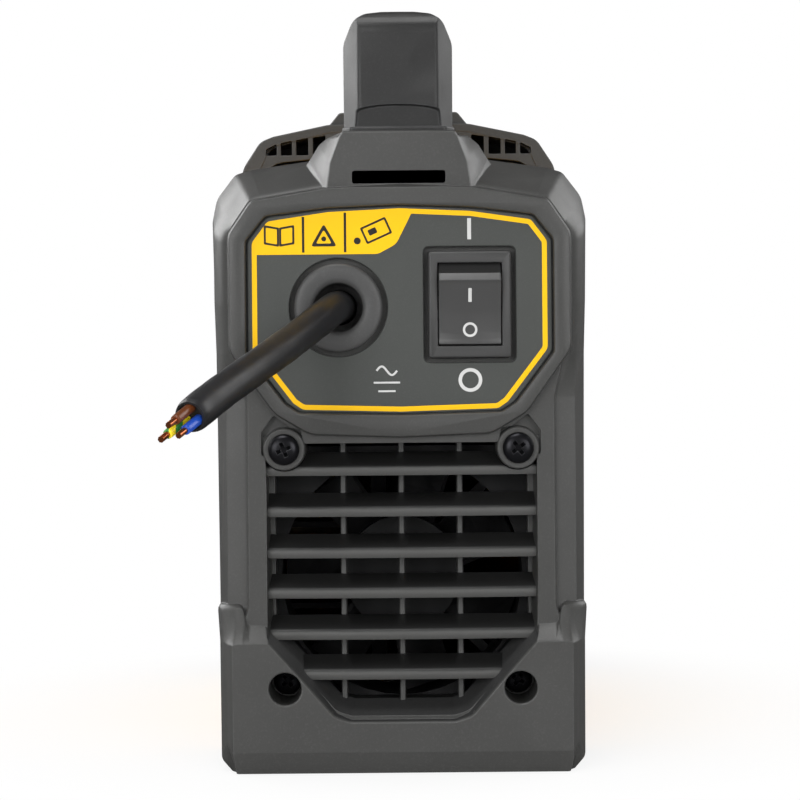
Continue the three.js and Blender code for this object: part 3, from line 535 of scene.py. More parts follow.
# Keys that are CAD slot names also dress the pieces that keep their CAD shape.
# Positional values are name, colour (0-255 sRGB), roughness, grain and bump.
materials = {
    "cover": surface("moulded_grey", (56, 56, 55), 0.42, 2600, 0.3, depth=0.00005, wear_and_highlight=0.22,
                     wear_and_highlight_color=(140, 141, 141), dust=0.03, speckle=0.22),
    # Matt, darker grey for the rocker's end bands: the darker colour is painted shade
    "band": surface("rocker_band_painted_shade", (30, 30, 30), 0.7, 2400, 0.2, rounding=0.0, spec=0.12),
    # Inlet sill and slanted sides: rougher, and darker grey as painted shade
    "sill": surface("moulded_grey_sill_painted_shade", (46, 46, 46), 0.6, 2600, 0.3, depth=0.00005, tone=0.08,
                    rounding=0.0, speckle=0.3),
    # Grille grey; shade darkens its up-facing louvre slopes as painted shade
    "grille": surface("moulded_grey_grille_painted_shade", (64, 64, 63), 0.42, 4200, 0.2, tone=0.05, wear_and_highlight=0.25,
                      wear_and_highlight_color=(150, 152, 156), rounding=0.0004, speckle=0.1, shade=0.95),
    "panel": surface("printed_panel", (56, 58, 56), 0.42, 3800, 0.16, tone=0.035, rounding=0.0003,
                     speckle=0.12),
    "print_yellow": surface("print_yellow", (214, 167, 2), 0.42, 3800, 0.1, tone=0.03, rounding=0.0,
                            spec=0.22),
    "print_white": surface("print_white", (176, 176, 175), 0.45, 3800, 0.1, tone=0.03, rounding=0.0),
    "print_black": surface("print_black", (30, 29, 26), 0.42, 3800, 0.1, tone=0.05, rounding=0.0),
    "shell_yellow": surface("powder_coat_yellow", (240, 178, 3), 0.34, 1500, 0.06, tone=0.035,
                            wear_and_highlight=0.12, wear_and_highlight_color=(255, 216, 96), rounding=0.0006, dimples=0.5,
                            coat=0.04, dust=0.03, scratch=0.08, spec=0.3),
    "black_plastic": surface("black_plastic", (36, 36, 38), 0.44, 3000, 0.22, wear_and_highlight=0.25,
                             wear_and_highlight_color=(92, 93, 96), rounding=0.0004),
    "black_dark": surface("black_inner", (19, 19, 20), 0.62, 2000, 0.2, rounding=0.0),
    "gland": surface("gland_black", (60, 60, 60), 0.46, 2400, 0.3, wear_and_highlight=0.3,
                     wear_and_highlight_color=(104, 105, 108), speckle=0.15),
    "switch_gloss": surface("switch_satin", (59, 59, 59), 0.34, 3600, 0.12, wear_and_highlight=0.25,
                            wear_and_highlight_color=(110, 111, 114), rounding=0.0003),
    "bezel": surface("switch_bezel", (52, 52, 52), 0.42, 3200, 0.2, wear_and_highlight=0.25,
                     wear_and_highlight_color=(118, 119, 122), rounding=0.0003),
    "cable_rubber": surface("cable_rubber", (27, 27, 29), 0.42, 1300, 0.12, depth=0.00006, tone=0.12,
                            tone_scale=90, rough_spread=0.09, rounding=0.0, spec=0.55, scratch=0.12),
    "soft_grip": surface("soft_grip", (27, 27, 28), 0.72, 2600, 0.5, depth=0.00006, wear_and_highlight=0.1),
    "black_steel": surface("screw_black_zinc", (40, 40, 43), 0.3, 1600, 0.12, metal=0.85, tone=0.1,
                           tone_scale=160, wear_and_highlight=0.55, wear_and_highlight_color=(150, 151, 155), rounding=0.0003,
                           rough_spread=0.08),
    "zinc_steel": surface("zinc_sheet", (168, 170, 172), 0.36, 700, 0.08, metal=0.95, tone=0.1,
                          tone_scale=120, wear_and_highlight=0.2, rounding=0.0004, rough_spread=0.1, scratch=0.15),
    "aluminium": surface("aluminium", (184, 186, 188), 0.34, 1200, 0.1, metal=1.0, tone=0.05,
                         wear_and_highlight=0.2, rounding=0.0004, scratch=0.15),
    "brass": surface("brass", (196, 152, 78), 0.26, 900, 0.07, metal=1.0, tone=0.1, tone_scale=140,
                     wear_and_highlight=0.35, wear_and_highlight_color=(236, 206, 142), rounding=0.0004, rough_spread=0.09,
                     scratch=0.12),
    "copper_winding": surface("enamelled_copper", (150, 74, 34), 0.3, 900, 0.15, metal=0.7,
                              tone=0.15, tone_scale=200, rounding=0.0004),
    "bare_copper": surface("bare_copper", (206, 122, 78), 0.3, 2500, 0.15, metal=1.0, tone=0.12,
                           tone_scale=500, rounding=0.0),
    "ferrite": surface("ferrite", (40, 40, 43), 0.55, 1500, 0.3, wear_and_highlight=0.2),
    "board_green": surface("circuit_board", (22, 84, 48), 0.32, 1800, 0.1, tone=0.1, tone_scale=90,
                           coat=0.3, wear_and_highlight=0.3, wear_and_highlight_color=(190, 178, 120), rounding=0.0004),
    "capacitor_sleeve": surface("capacitor_sleeve", (22, 26, 60), 0.26, 900, 0.05, tone=0.08,
                                coat=0.4, rounding=0.0004),
    "relay_case": surface("relay_case", (30, 32, 38), 0.3, 1500, 0.08, tone=0.08, wear_and_highlight=0.2,
                          rounding=0.0004),
    "display_window": surface("tinted_window", (26, 5, 6), 0.08, 500, 0.01, tone=0.05,
                              rough_spread=0.03, coat=1.0, rounding=0.0004),
    "segments": surface("display_segments", (88, 22, 20), 0.3, 900, 0.03, tone=0.05, rounding=0.0),
    "core_brown": surface("core_brown", (92, 48, 22), 0.32, 1500, 0.08, tone_scale=200,
                          rounding=0.0),
    "core_blue": surface("core_blue", (26, 66, 158), 0.32, 1500, 0.08, tone_scale=200, rounding=0.0),
    "handle": surface("handle_grey", (38, 38, 38), 0.38, 2800, 0.26, depth=0.00005, tone=0.05,
                      wear_and_highlight=0.2, wear_and_highlight_color=(150, 152, 156), rounding=0.0006, dust=0.06, speckle=0.2),
    # Near-black, half-metallic heatsink surface: painted shade inside the case
    "black_anodised": surface("anodised_black", (24, 24, 26), 0.45, 1200, 0.1, metal=0.4, wear_and_highlight=0.1,
                              rounding=0.0),
    "knob_black": surface("knob_soft_black", (30, 30, 32), 0.55, 3000, 0.35, wear_and_highlight=0.2,
                          wear_and_highlight_color=(86, 87, 90), rounding=0.0004),
    "led_green": lens("lens_green", (70, 168, 84)),
    "led_amber": lens("lens_amber", (222, 150, 34)),
    "core_green_yellow": earth_core(),
}


# ------------------------------------------------------------------ rear cover
def recess_cutter(half, floor_y, face_y, lip, radius, steps=5):
    """Cutter for a recess open towards +Y whose mouth has a small rounded lip."""
    points, clearance = mirror(half), 2.0
    wall, middle, mouth, outside = [
        fillet(offset(points, d) if d else points, radius, steps)
        for d in (0, lip * 0.35, lip, lip + clearance)]
    return loft([(floor_y, wall), (face_y - lip, wall), (face_y - lip * 0.35, middle),
                 (face_y + 0.001, mouth), (face_y + clearance, outside)])


# Half outlines (x, z) from the open rim to the face, with shared corner radii
REAR_RIM = [(50.9, 0.0), (54.6, 13), (55.2, 41), (56.2, 50), (56.8, 106), (57.1, 127), (57.5, 143.5),
            (58.0, 168.0), (56.6, 175.0), (50.8, 182.6), (46.0, 184.0), (27.9, 186.6), (0, 187.6)]
REAR_SHOULDER = [(51.5, 0.0), (54.4, 8), (54.6, 41), (55.8, 50), (56.2, 106), (56.4, 127),
                 (56.9, 143), (57.0, 165.0), (52.9, 170.2), (47.7, 177.4), (43.8, 178.6),
                 (25.0, 181.5), (0, 182.6)]
REAR_EDGE = [(50.5, 0.0), (53.6, 8), (53.6, 41), (53.2, 50), (53.2, 113), (53.6, 127), (54.6, 142),
             (54.6, 163.4), (51.0, 167.7), (46.1, 174.9), (42.6, 175.9), (23.5, 179.0), (0, 180.1)]
REAR_FACE = [(48.6, 0.0), (50.2, 8), (50.0, 41), (47.0, 50), (47.0, 113), (50.2, 127), (52.3, 142),
             (52.4, 162.4), (50.0, 166.4), (45.2, 173.4), (42.0, 174.4), (22.7, 177.6), (0, 178.7)]
REAR_FACE_WIDE = [(x + 0.5 if x > 0 else x, z + (0.3 if z > 163 else 0)) for x, z in REAR_FACE]
REAR_RADII = [1.5, 6, 4, 4, 6, 8, 8, 7, 8, 3.5, 3, 12, 0.1]
rear = skin(REAR_RADII, (88.0, REAR_RIM, -0.35), (88.35, REAR_RIM), (113.5, REAR_RIM),
            (114.5, REAR_RIM, -0.03), (124.0, REAR_SHOULDER), (129.0, REAR_EDGE),
            (130.8, REAR_FACE_WIDE), (131.0, REAR_FACE), (132.4, REAR_FACE, -0.05),
            (133.0, REAR_FACE, -0.6))

# Bumper round the foot of the cover, its face leaning back at the bottom
BUMPER_SIDE = [(52.4, 0.0), (55.6, 3.4), (55.8, 39.5), (56.5, 50.9), (49.0, 51.3), (47.2, 44.9),
               (41.4, 44.4), (19.4, 17.9), (15.8, 15.8)]
BUMPER_MIDDLE = [(52.0, 0.0), (55.3, 3.8), (55.4, 39.5), (54.3, 50.6), (49.0, 51.1), (47.2, 44.9),
                 (41.4, 44.4), (19.6, 17.8), (15.8, 15.8)]
BUMPER_SHOULDER = [(50.6, 0.0), (53.6, 9), (54.1, 39.6), (51.0, 49.7), (48.5, 50.0), (47.1, 44.8),
                   (41.4, 44.3), (20.0, 17.7), (15.8, 15.8)]
BUMPER_NOSE = [(50.5, 0.0), (52.9, 8), (53.2, 39.3), (50.3, 45.4), (47.9, 45.7), (46.9, 43.3),
               (41.2, 43.0), (20.3, 17.5), (15.8, 15.8)]
BUMPER_FACE = [(50.1, 0.0), (51.4, 6.7), (51.6, 39.2), (50.8, 39.5), (48.4, 39.6), (46.4, 39.6),
               (40.7, 39.6), (20.6, 17.3), (15.8, 15.8)]
bumper = skin([0.8, 3.0, 2.2, 2.2, 1.6, 1.6, 0.5, 3.5, 0.5],
              (107.0, BUMPER_SIDE, -0.8), (108.0, BUMPER_SIDE), (127.0, BUMPER_SIDE),
              (130.5, BUMPER_MIDDLE), (133.0, BUMPER_SHOULDER), (134.6, BUMPER_NOSE),
              (136.9, BUMPER_FACE, 0.35), (137.5, BUMPER_FACE, -0.1))
lean = [(137.7, 7.2), (142, 7.2), (142, -2), (134.9, -2)]    # (y, z)
bumper = cut(bumper, prism(lean, -60, 60, "X"))

# Raised frame round the panel
RING = [(0, 102.0), (27.3, 103.0), (37.8, 109.2), (51.3, 128.2), (51.3, 163.0), (44.6, 172.9),
        (22.4, 176.6), (0, 177.6)]
ring = skin([0.1, 9, 9, 7, 5, 4, 10, 0.1], (130.5, RING, 1.0), (133.0, RING, 0.8),
            (136.3, RING, 0.4), (136.8, RING, 0.1), (137.0, RING, -0.4))

# Pedestal under the rear foot of the handle
PEDESTAL_FACE = [(24.2, 170), (21.9, 176.4), (20.8, 185.0), (18.0, 192.4), (16.9, 194.1)]
PEDESTAL_BACK = [(33.5, 177), (27.6, 186.6), (24.6, 191.4), (21.4, 194.0), (17.6, 194.4)]
pedestal = skin([0.5, 1.2, 3.5, 3.0, 0.8], (95.6, PEDESTAL_BACK, -0.4), (96.0, PEDESTAL_BACK),
                (117.0, PEDESTAL_BACK), (133.9, PEDESTAL_FACE, 0.25), (134.5, PEDESTAL_FACE, -0.2))

# Notches round the upper screw bosses, in the wall only
NOTCH = fillet([(42.4, 96), (42.4, 103.2), (38.6, 108.4), (33.6, 104.6), (30.4, 104.0), (29.0, 96)],
               0.8, 3)
rear = cut(rear, *[prism([(s * x, z) for x, z in NOTCH], 130.5, 134.0) for s in SIDES])
rear = fuse(rear, bumper, ring, pedestal)

CAVITY = [(48.6, 2.5), (51.8, 14), (52.0, 41), (51.6, 50), (51.7, 106), (52.0, 127), (52.9, 143.5),
          (53.6, 167.6), (52.0, 173.0), (48.2, 179.4), (44.8, 180.4), (27.5, 183.2), (0, 184.0)]
CAVITY_END = [(46.2, 2.5), (47.8, 8), (47.4, 41), (44.6, 50), (44.6, 113), (47.7, 127), (49.6, 142),
              (49.8, 161.6), (47.6, 165.4), (43.4, 171.4), (40.6, 172.2), (22.2, 175.0), (0, 175.9)]
rear = cut(rear, skin(REAR_RADII, (87.0, CAVITY), (116.5, CAVITY), (129.6, CAVITY_END)))
rear = fuse(rear, cuboid(-16, 16, 106, 131, 176.3, 184.5))    # block round the strap slot

# Air inlet: its sill and slanted sides run inwards and upwards
INLET_MOUTH = [(15.8, 15.8), (20.6, 17.3), (41.4, 41.2), (41.4, 99.7)]
INLET_MIDDLE = [(15.4, 17.6), (20.1, 19.0), (40.8, 42.9), (41.3, 99.7)]
INLET_INNER = [(14.8, 20.6), (19.0, 21.9), (39.6, 45.4), (41.0, 99.7)]
INLET_RADII = [4, 6, 3, 0.8]
INLET_STATIONS = [(100.0, INLET_INNER), (121.5, INLET_INNER), (136.9, INLET_MOUTH)]
inlet = skin(INLET_RADII, *INLET_STATIONS, (137.3, INLET_MOUTH, 0.25), (137.6, INLET_MOUTH, 0.6),
             (141, INLET_MOUTH, 3.4))
strap = loft([(112, rect(-13.7, 13.7, 178.7, 181.9, 0.6)), (133.9, rect(-13.7, 13.7, 178.7, 181.9, 0.6)),
              (134.55, rect(-14.2, 14.2, 178.3, 182.3, 0.9)), (138, rect(-16, 16, 176.5, 184.0, 1.2))])
PANEL_RECESS = [(0, 108.1), (30.6, 108.9), (35.0, 111.8), (46.6, 127.0), (46.6, 161.2),
                (40.6, 168.7), (22.0, 171.0), (0, 171.9)]
recess = recess_cutter(PANEL_RECESS, floor_y=133.0, face_y=137.0, lip=0.45, radius=3.0)
sleeve_back = cut(skin(INLET_RADII, (113.0, INLET_INNER, 3.6), (121.9, INLET_INNER, 3.6)),
                  skin(INLET_RADII, (112.0, INLET_INNER, 1.75), (121.5, INLET_INNER, 1.75)))
sleeve = skin(INLET_RADII, (121.6, INLET_INNER, 1.9), (131.5, INLET_MIDDLE, 1.9))
rear = fuse(rear, sleeve, sleeve_back)
rear = cut(rear, inlet, strap, recess)

# Screw bosses; the lower ones stop at the air inlet
UPPER_BOSS = [(0, 118), (6.6, 118), (6.6, 131), (6.4, 134.0), (6.0, 134.5), (0, 134.5)]
rear = fuse(rear, *[lathe(UPPER_BOSS, at_side(s, REAR_UPPER_SCREW), 48) for s in SIDES])
rear = fuse(rear, *[cut(rod(at_side(s, REAR_LOWER_SCREW), 6.3, 112.5, 130.5, 40),
                        skin(INLET_RADII, *INLET_STATIONS)) for s in SIDES])

# Screw wells and bores, then the openings and grooves for gland and switch
LOWER_WELL = [(0, 117.0), (4.9, 117.0), (4.9, 137.1), (5.15, 137.4), (5.6, 137.8), (5.6, 140),
              (0, 140)]
wells = []
for side in SIDES:
    upper, lower = at_side(side, REAR_UPPER_SCREW), at_side(side, REAR_LOWER_SCREW)
    wells += [lathe(LOWER_WELL, lower, 48), rod(lower, 2.3, 111, 118, 24),
              rod(upper, 2.3, 111, 136, 24)]
wells += [rod(GLAND, 10.9, 124, 140, 48), cuboid(-33.2, -9.2, 124, 140, 125.2, 157.8),
          rod(GLAND, 14.9, 131.2, 140, 72), prism(around_switch(13.9, 17.5, 2.0), 131.2, 140)]
rear = cut(rear, *wells)
rear = add_part("rear_cover_shell", clean(rear), "cover", replaces="rear_cover", angle=34)

# The sill and slanted sides of the inlet get a duller material whose darker colour is painted shade
rear.data.materials.append(materials["sill"])
for face in rear.data.polygons:
    c = face.center / MM
    in_inlet = 100 < c.y < 136.9 and 14.5 < c.z < 47 and abs(c.x) < 42
    if in_inlet and face.normal.z > 0.3 and abs(c.x) < 17 + (c.z - 14) * 0.95:
        face.material_index = 1


# ------------------------------------------------------------------ rear panel and its print
def panel_plate(half, radii):
    return skin(radii, (133.3, half), (134.15, half), (PANEL_FACE, half, -0.15))


REAR_PANEL = [(0, 108.6), (30.4, 109.4), (34.6, 112.2), (46.1, 127.4), (46.1, 161.0), (40.3, 168.3),
              (21.9, 170.6), (0, 171.5)]
gland_opening = [(0, 130), (15, 130), (15, 134.1), (15.25, 134.4), (15.25, 136), (0, 136)]
switch_opening = loft([
    (130, around_switch(14, 17.6, 2.0)), (134.05, around_switch(14, 17.6, 2.0)),
    (134.35, around_switch(14.25, 17.85, 2.2)), (136, around_switch(14.3, 17.9, 2.2))])
plate = cut(panel_plate(REAR_PANEL, [0.1, 3, 3, 3, 3, 3, 6, 0.1]),
            lathe(gland_opening, GLAND, 72), switch_opening)
add_part("rear_panel_plate", plate, "panel", replaces="rear_panel", angle=34)


def ink(points, face, height=0.05, inner=None):
    """Thin printed shape on a face that looks along +Y; with inner it is a frame."""
    start, end = face - INK_SINK, face + height
    return hoop(points, inner, start, end) if inner else prism(points, start, end)


def border(half, radii):
    """Line 1.5 wide along the edge of a panel."""
    inner = outline(half, [max(r - 1.2, 0.1) for r in radii], -1.5)
    return ink(outline(half, radii), PANEL_FACE, 0.06, inner)


def bar(start, end, width):
    """Corners of a straight bar between two points."""
    p, q = Vector(start), Vector(end)
    along = (q - p).normalized()
    across = Vector((-along.y, along.x)) * width / 2
    return [tuple(p + across), tuple(p - across), tuple(q - across), tuple(q + across)]


def line(name, start, end, width, face, material):
    add_part(name, ink(bar(start, end, width), face), None, material)


def sign_frame(points, radius, width, inner_radius, steps=3):
    """Frame on the yellow block; points run clockwise, so the offset goes inwards."""
    inner = fillet(offset(points, width), inner_radius, steps)
    return ink(fillet(points, radius, steps), BLOCK_FACE, inner=inner)


REAR_BORDER = [(0, 109.2), (29.6, 110.0), (32.5, 112.0), (44.7, 128.0), (44.7, 160.7), (39.9, 167.1),
               (21.6, 169.8), (0, 170.8)]
add_part("panel_border", border(REAR_BORDER, [0.1, 3.2, 3.2, 3.2, 2.6, 2.2, 6, 0.1]), "panel",
         "print_yellow")
BLOCK = [(44.4, 157.0), (44.4, 160.6), (39.8, 166.9), (21.6, 169.6), (0, 170.6), (-4.3, 170.35),
         (0.9, 160.0), (6.4, 157.0)]
block = list(reversed(fillet(BLOCK, [0.3, 2.4, 2.0, 5, 3, 0.3, 4.5, 4.5], 5)))
add_part("panel_block", ink(block, PANEL_FACE, 0.075), "panel", "print_yellow")
line("mark_divider_1", (29.1, 157.6), (29.1, 168.4), 0.75, BLOCK_FACE, "print_black")
line("mark_divider_2", (16.4, 157.6), (16.4, 169.6), 0.75, BLOCK_FACE, "print_black")

# Three plain signs: an open sheet, a triangle with a dot and a tilted box with a dot
SHEET_LEAVES = [[(41.0, 160.2), (36.4, 159.4), (36.4, 165.2), (41.0, 166.0)],
                [(36.35, 159.4), (31.75, 160.2), (31.75, 166.0), (36.35, 165.2)]]
TRIANGLE = [(26.8, 159.4), (18.9, 159.4), (22.85, 166.3)]


def tilt(points, degrees=-24, centre=(7, 164.1)):
    c, s = cos(radians(degrees)), sin(radians(degrees))
    return [(centre[0] + (x - centre[0]) * c - (z - centre[1]) * s,
             centre[1] + (x - centre[0]) * s + (z - centre[1]) * c) for x, z in points]


for name, sign in (
        ("mark_sheet", lambda: join(*[sign_frame(leaf, 0.4, 0.62, 0.3) for leaf in SHEET_LEAVES])),
        ("mark_triangle", lambda: sign_frame(TRIANGLE, 0.6, 0.9, 0.4, 4)),
        ("mark_dot", lambda: ink(circle(22.85, 161.7, 0.75, 24), BLOCK_FACE)),
        ("mark_box", lambda: sign_frame(tilt(rect(11.2, 2.8, 161.4, 166.8)), 0.5, 0.62, 0.3)),
        ("mark_box_window",
         lambda: ink(fillet(tilt(rect(9.4, 6.8, 163.4, 165.2)), 0.3, 3), BLOCK_FACE)),
        ("mark_dot_2", lambda: ink(circle(12.7, 161.0, 1.05, 24), BLOCK_FACE))):
    add_part(name, sign(), "panel", "print_black")

# On and off marks above and below the switch
line("mark_on", (SWITCH_X, 161.2), (SWITCH_X, 167.6), 1.15, PANEL_FACE, "print_white")
off_mark = ink(circle(SWITCH_X, 118.6, 3.6), PANEL_FACE, inner=circle(SWITCH_X, 118.6, 2.55))
add_part("mark_off", off_mark, "panel", "print_white")


def wave_outline(centre_x, centre_z, width, height, thickness):
    """One period of a sine as a band of even thickness."""
    upper, lower = [], []
    for i in range(33):
        u = i / 32
        x, z = centre_x + width / 2 - width * u, centre_z + height / 2 * sin(2 * pi * u)
        dx, dz = -width, height * pi * cos(2 * pi * u)
        length = hypot(dx, dz)
        nx, nz = -dz / length * thickness / 2, dx / length * thickness / 2
        upper.append((x + nx, z + nz))
        lower.append((x - nx, z - nz))
    return upper + lower[::-1]


# Mains sign: a wave over two lines
MAINS_X = 4.1
wave = wave_outline(MAINS_X, 121.6, width=6.2, height=2.6, thickness=0.6)
add_part("mark_mains", ink(wave, PANEL_FACE), None, "print_white")
for i, (width, z) in enumerate([(8.0, 118.0), (5.2, 115.4)]):
    line(f"mark_mains_line_{i}", (MAINS_X - width / 2, z), (MAINS_X + width / 2, z), 0.55,
         PANEL_FACE, "print_white")

# ------------------------------------------------------------------ air inlet grille
BLADE_HEIGHTS = [91.25, 78.75, 66.15, 53.95, 41.35, 29.2]


def blade(height, half_width=44, half_lip=1.5, steps=40):
    """Louvre bowed towards +Y in the middle, rising behind its front lip."""
    rings = []
    for i in range(steps + 1):
        x = -half_width + 2 * half_width * i / steps
        y = 130.6 + 1.5 * (1 - (x / 41.0) ** 2)
        section = [
            (y - 0.35, half_lip), (y - 0.05, half_lip * 0.62), (y + 0.06, 0),
            (y - 0.05, -half_lip * 0.62), (y - 0.4, -half_lip), (123.0, 3.4), (122.4, 5.1),
            (123.1, 5.3), (y - 1.3, half_lip + 0.5)]
        rings.append([(x, section_y, height + z) for section_y, z in section])
    return solid(rings)


def grille_bar(x):
    body = rect(x - 0.9, x + 0.9, 20.0, 100.6)
    return loft([(113.5, body), (122.6, body), (123.1, rect(x - 0.55, x + 0.55, 20.2, 100.4))])


blades = join(*[blade(z) for z in BLADE_HEIGHTS])
blades = common(blades, skin(INLET_RADII, (105.0, INLET_INNER, 0.25), (121.5, INLET_INNER, 0.25),
                             (136.9, INLET_MOUTH, 0.25)))
bars = join(*[grille_bar(x) for x in (-17.9, 0, 17.9)])
# The flange's opening is the inlet outline, narrowed at the sides
opening = []
for x, z in outline(INLET_INNER, INLET_RADII, 0.05):
    point = (max(-38.9, min(38.9, x)), z)
    if not opening or dist(point, opening[-1]) > 0.02:
        opening.append(point)
flange = cut(skin(INLET_RADII, (114.0, INLET_INNER, 1.6), (121.3, INLET_INNER, 1.6)),
             prism(opening, 108, 140))
grille = fuse(blades, bars, flange)
for side in SIDES:
    grille = cut(grille, rod(at_side(side, REAR_UPPER_SCREW), 6.9, 110, 140, 32),
                 rod(at_side(side, REAR_LOWER_SCREW), 6.7, 110, 140, 32))
add_part("blade", clean(grille), "cover", "grille", replaces="rear_grille", angle=40)

# ------------------------------------------------------------------ cable gland, nut and cable
GLAND_PROFILE = [    # (radius, y)
    (5.4, 112), (10.4, 112), (10.5, 112.4), (10.5, 131.25), (13.0, 131.25), (13.1, 133.4),
    (13.4, 133.8), (13.4, 134.9), (13.15, 135.4), (12.5, 135.75), (11.2, 135.9), (8.9, 135.85),
    (8.1, 135.6), (7.55, 135.1), (7.3, 134.3), (7.3, 127.5), (6.4, 125.4), (5.4, 124.2)]
add_part("cable_gland_disc", lathe(GLAND_PROFILE, GLAND, 96, closed=True), "black_plastic", "gland",
         replaces="cable_gland", angle=40)
hexagon = circle(*GLAND, 15, 6)
nut_ends, nut_sides = fillet(offset(hexagon, -0.5), 1.5, 4), fillet(hexagon, 1.5, 4)
nut = loft([(122.5, nut_ends), (123.0, nut_sides), (129.1, nut_sides), (129.6, nut_ends)])
add_part("gland_nut_hex", cut(nut, rod(GLAND, 10.8, 120, 132, 48)), "black_plastic",
         replaces="gland_nut")

CABLE_POINTS = [    # (x, y, z) from inside the case to the cut end
    (18.6, 95, 140.9), (18.6, 112, 140.9), (18.7, 128, 141.1), (19.6, 137, 140.7),
    (23.2, 145.5, 137.8), (30, 156, 132.2), (40.6, 178, 124), (50.5, 200, 116.4), (57, 215, 110.8)]
CABLE_SAMPLES = 150
END_TAPER = [0.05, 0.22, 0.5]      # how much thinner the jacket is at its last samples
cable_path = spline(CABLE_POINTS, CABLE_SAMPLES)
cable_radii = [4.9 + 0.035 * sin(i * 0.55) + 0.03 * sin(i * 0.23 + 1) for i in range(CABLE_SAMPLES)]
for i, taper in enumerate(END_TAPER):
    cable_radii[i - len(END_TAPER)] -= taper
cable_end = Vector(cable_path[-1])
cable_way = (cable_end - Vector(cable_path[-2])).normalized()
cable_side = cable_way.cross(Vector((0, 0, 1))).normalized()
cable_up = cable_side.cross(cable_way).normalized()


def beyond(origin, distances):
    """Points past an origin in the direction of the cut cable end."""
    return [tuple(origin + cable_way * d) for d in distances]


end_bore = sweep(beyond(cable_end, (-1.6, -0.8, 0.01, 2)), [3.5, 3.6, 3.75, 4.2], 40)
add_part("power_cable_jacket", cut(sweep(cable_path, cable_radii, 40), end_bore), "cable_rubber",
         replaces="power_cable", angle=50)
# name, slot, angle round the cable, length, CAD node
CORES = [("core_brown", "core_brown", 90, 12, "core_line"),
         ("core_blue", "core_blue", 210, 11, "core_neutral"),
         ("core_striped", "core_green_yellow", 330, 14, "core_earth")]
for name, slot, angle, length, node in CORES:
    start = (cable_end + cable_side * 2.2 * cos(radians(angle))
             + cable_up * 2.2 * sin(radians(angle)))
    insulation = beyond(start, (-1.4, 0.0, 2.0, length * 0.55, length - 4.6, length - 4.1,
                                length - 3.95))
    add_part(name, sweep(insulation, [1.4, 1.42, 1.4, 1.41, 1.4, 1.36, 1.15], 24), slot,
             replaces=node, angle=50)
    strands = sweep(beyond(start, [length - 4.2 + 0.21 * k for k in range(21)]), [0.86] * 21, 28,
                    twist=0.14, ripple=lambda a: 0.06 * cos(7 * a))
    add_part(name + "_strands", strands, None, "bare_copper", angle=60)

# ------------------------------------------------------------------ power switch
SWITCH_FACE = 136.3
PIVOT_Y = SWITCH_FACE - 9.4
PIVOT = (PIVOT_Y, SWITCH_Z)        # (y, z) of the rocker's axis, which runs along X
ROCKER_RADIUS, ROCKER_HALF_WIDTH = 14.9, 9.4
ROCKER_TILT = radians(12)

switch = prism(around_switch(11.4, 15.7, 0.8), 109.0, 132.3)
switch_frame = loft([
    (131.25, around_switch(12.65, 16.15, 1.0)), (135.4, around_switch(12.6, 16.15, 1.0)),
    (136.0, around_switch(12.4, 15.95, 0.95)), (SWITCH_FACE, around_switch(12.0, 15.55, 0.8))])
switch = fuse(switch, switch_frame)
pit = rod(PIVOT, 15.3, SWITCH_X - 9.8, SWITCH_X + 9.8, 72, "X")
pit = common(pit, cuboid(SWITCH_X - 20, SWITCH_X + 20, PIVOT_Y - 40, PIVOT_Y + 8.75,
                         SWITCH_Z - 40, SWITCH_Z + 40))
mouth = loft([(PIVOT_Y + 8.0, around_switch(9.7, 12.6, 0.5)), (136.0, around_switch(9.7, 12.6, 0.5)),
              (136.31, around_switch(9.95, 12.85, 0.6)), (139, around_switch(10, 12.9, 0.6))])
switch = cut(switch, pit, mouth, rod(PIVOT, 1.9, SWITCH_X - 11, SWITCH_X + 11, 24, "X"))
add_part("switch_body", clean(switch), "black_plastic", "bezel", replaces="power_switch_body",
         angle=34)


def tilted(u, v):
    """(y, z) of a rocker point; u runs along its face, v away from the pivot."""
    return (PIVOT_Y + v * cos(ROCKER_TILT) + u * sin(ROCKER_TILT),
            SWITCH_Z + u * cos(ROCKER_TILT) - v * sin(ROCKER_TILT))


def face_height(u):
    """Height of the slightly hollow rocker face above the pivot."""
    return 10.0 + 1.02 * (min(abs(u), 9.45) / 9.45) ** 1.4


rocker_half = [(9.45 * (k / 8), face_height(9.45 * (k / 8))) for k in range(9)]
rocker_half += [(9.72, 11.2), (9.88, 11.16)]
for k in range(1, 7):
    a = radians(41.6 + (70 - 41.6) * k / 6)
    rocker_half.append((ROCKER_RADIUS * sin(a), ROCKER_RADIUS * cos(a)))
rocker_half += [(11.6, 4.6), (8.5, 7.2), (3, 7.0), (2.2, -2.2)]
rocker_outer = [tilted(u, v) for u, v in mirror(rocker_half)]
rocker_ends = [tilted(u * 0.985, v - 0.16) for u, v in mirror(rocker_half)]
rocker_x0, rocker_x1 = SWITCH_X - ROCKER_HALF_WIDTH, SWITCH_X + ROCKER_HALF_WIDTH
rocker = loft([(rocker_x0, rocker_ends), (rocker_x0 + 0.25, rocker_outer),
               (rocker_x1 - 0.25, rocker_outer), (rocker_x1, rocker_ends)], "X")
axle = [(0, SWITCH_X - 10.6), (1.4, SWITCH_X - 10.6), (1.6, SWITCH_X - 10.4),
        (1.6, SWITCH_X + 10.4), (1.4, SWITCH_X + 10.6), (0, SWITCH_X + 10.6)]
rocker = fuse(rocker, lathe(axle, PIVOT, 24, "X"))
rocker = add_part("power_rocker_cap", clean(rocker), "switch_gloss", replaces="power_rocker",
                  body="power_rocker", angle=30)
# The bands at its upper and lower ends get a matt material whose darker colour is painted shade
rocker.data.materials.append(materials["band"])
for face in rocker.data.polygons:
    if abs(face.center.z / MM - SWITCH_Z) > 8.9 and abs(face.normal.z) > 0.45:
        face.material_index = 1


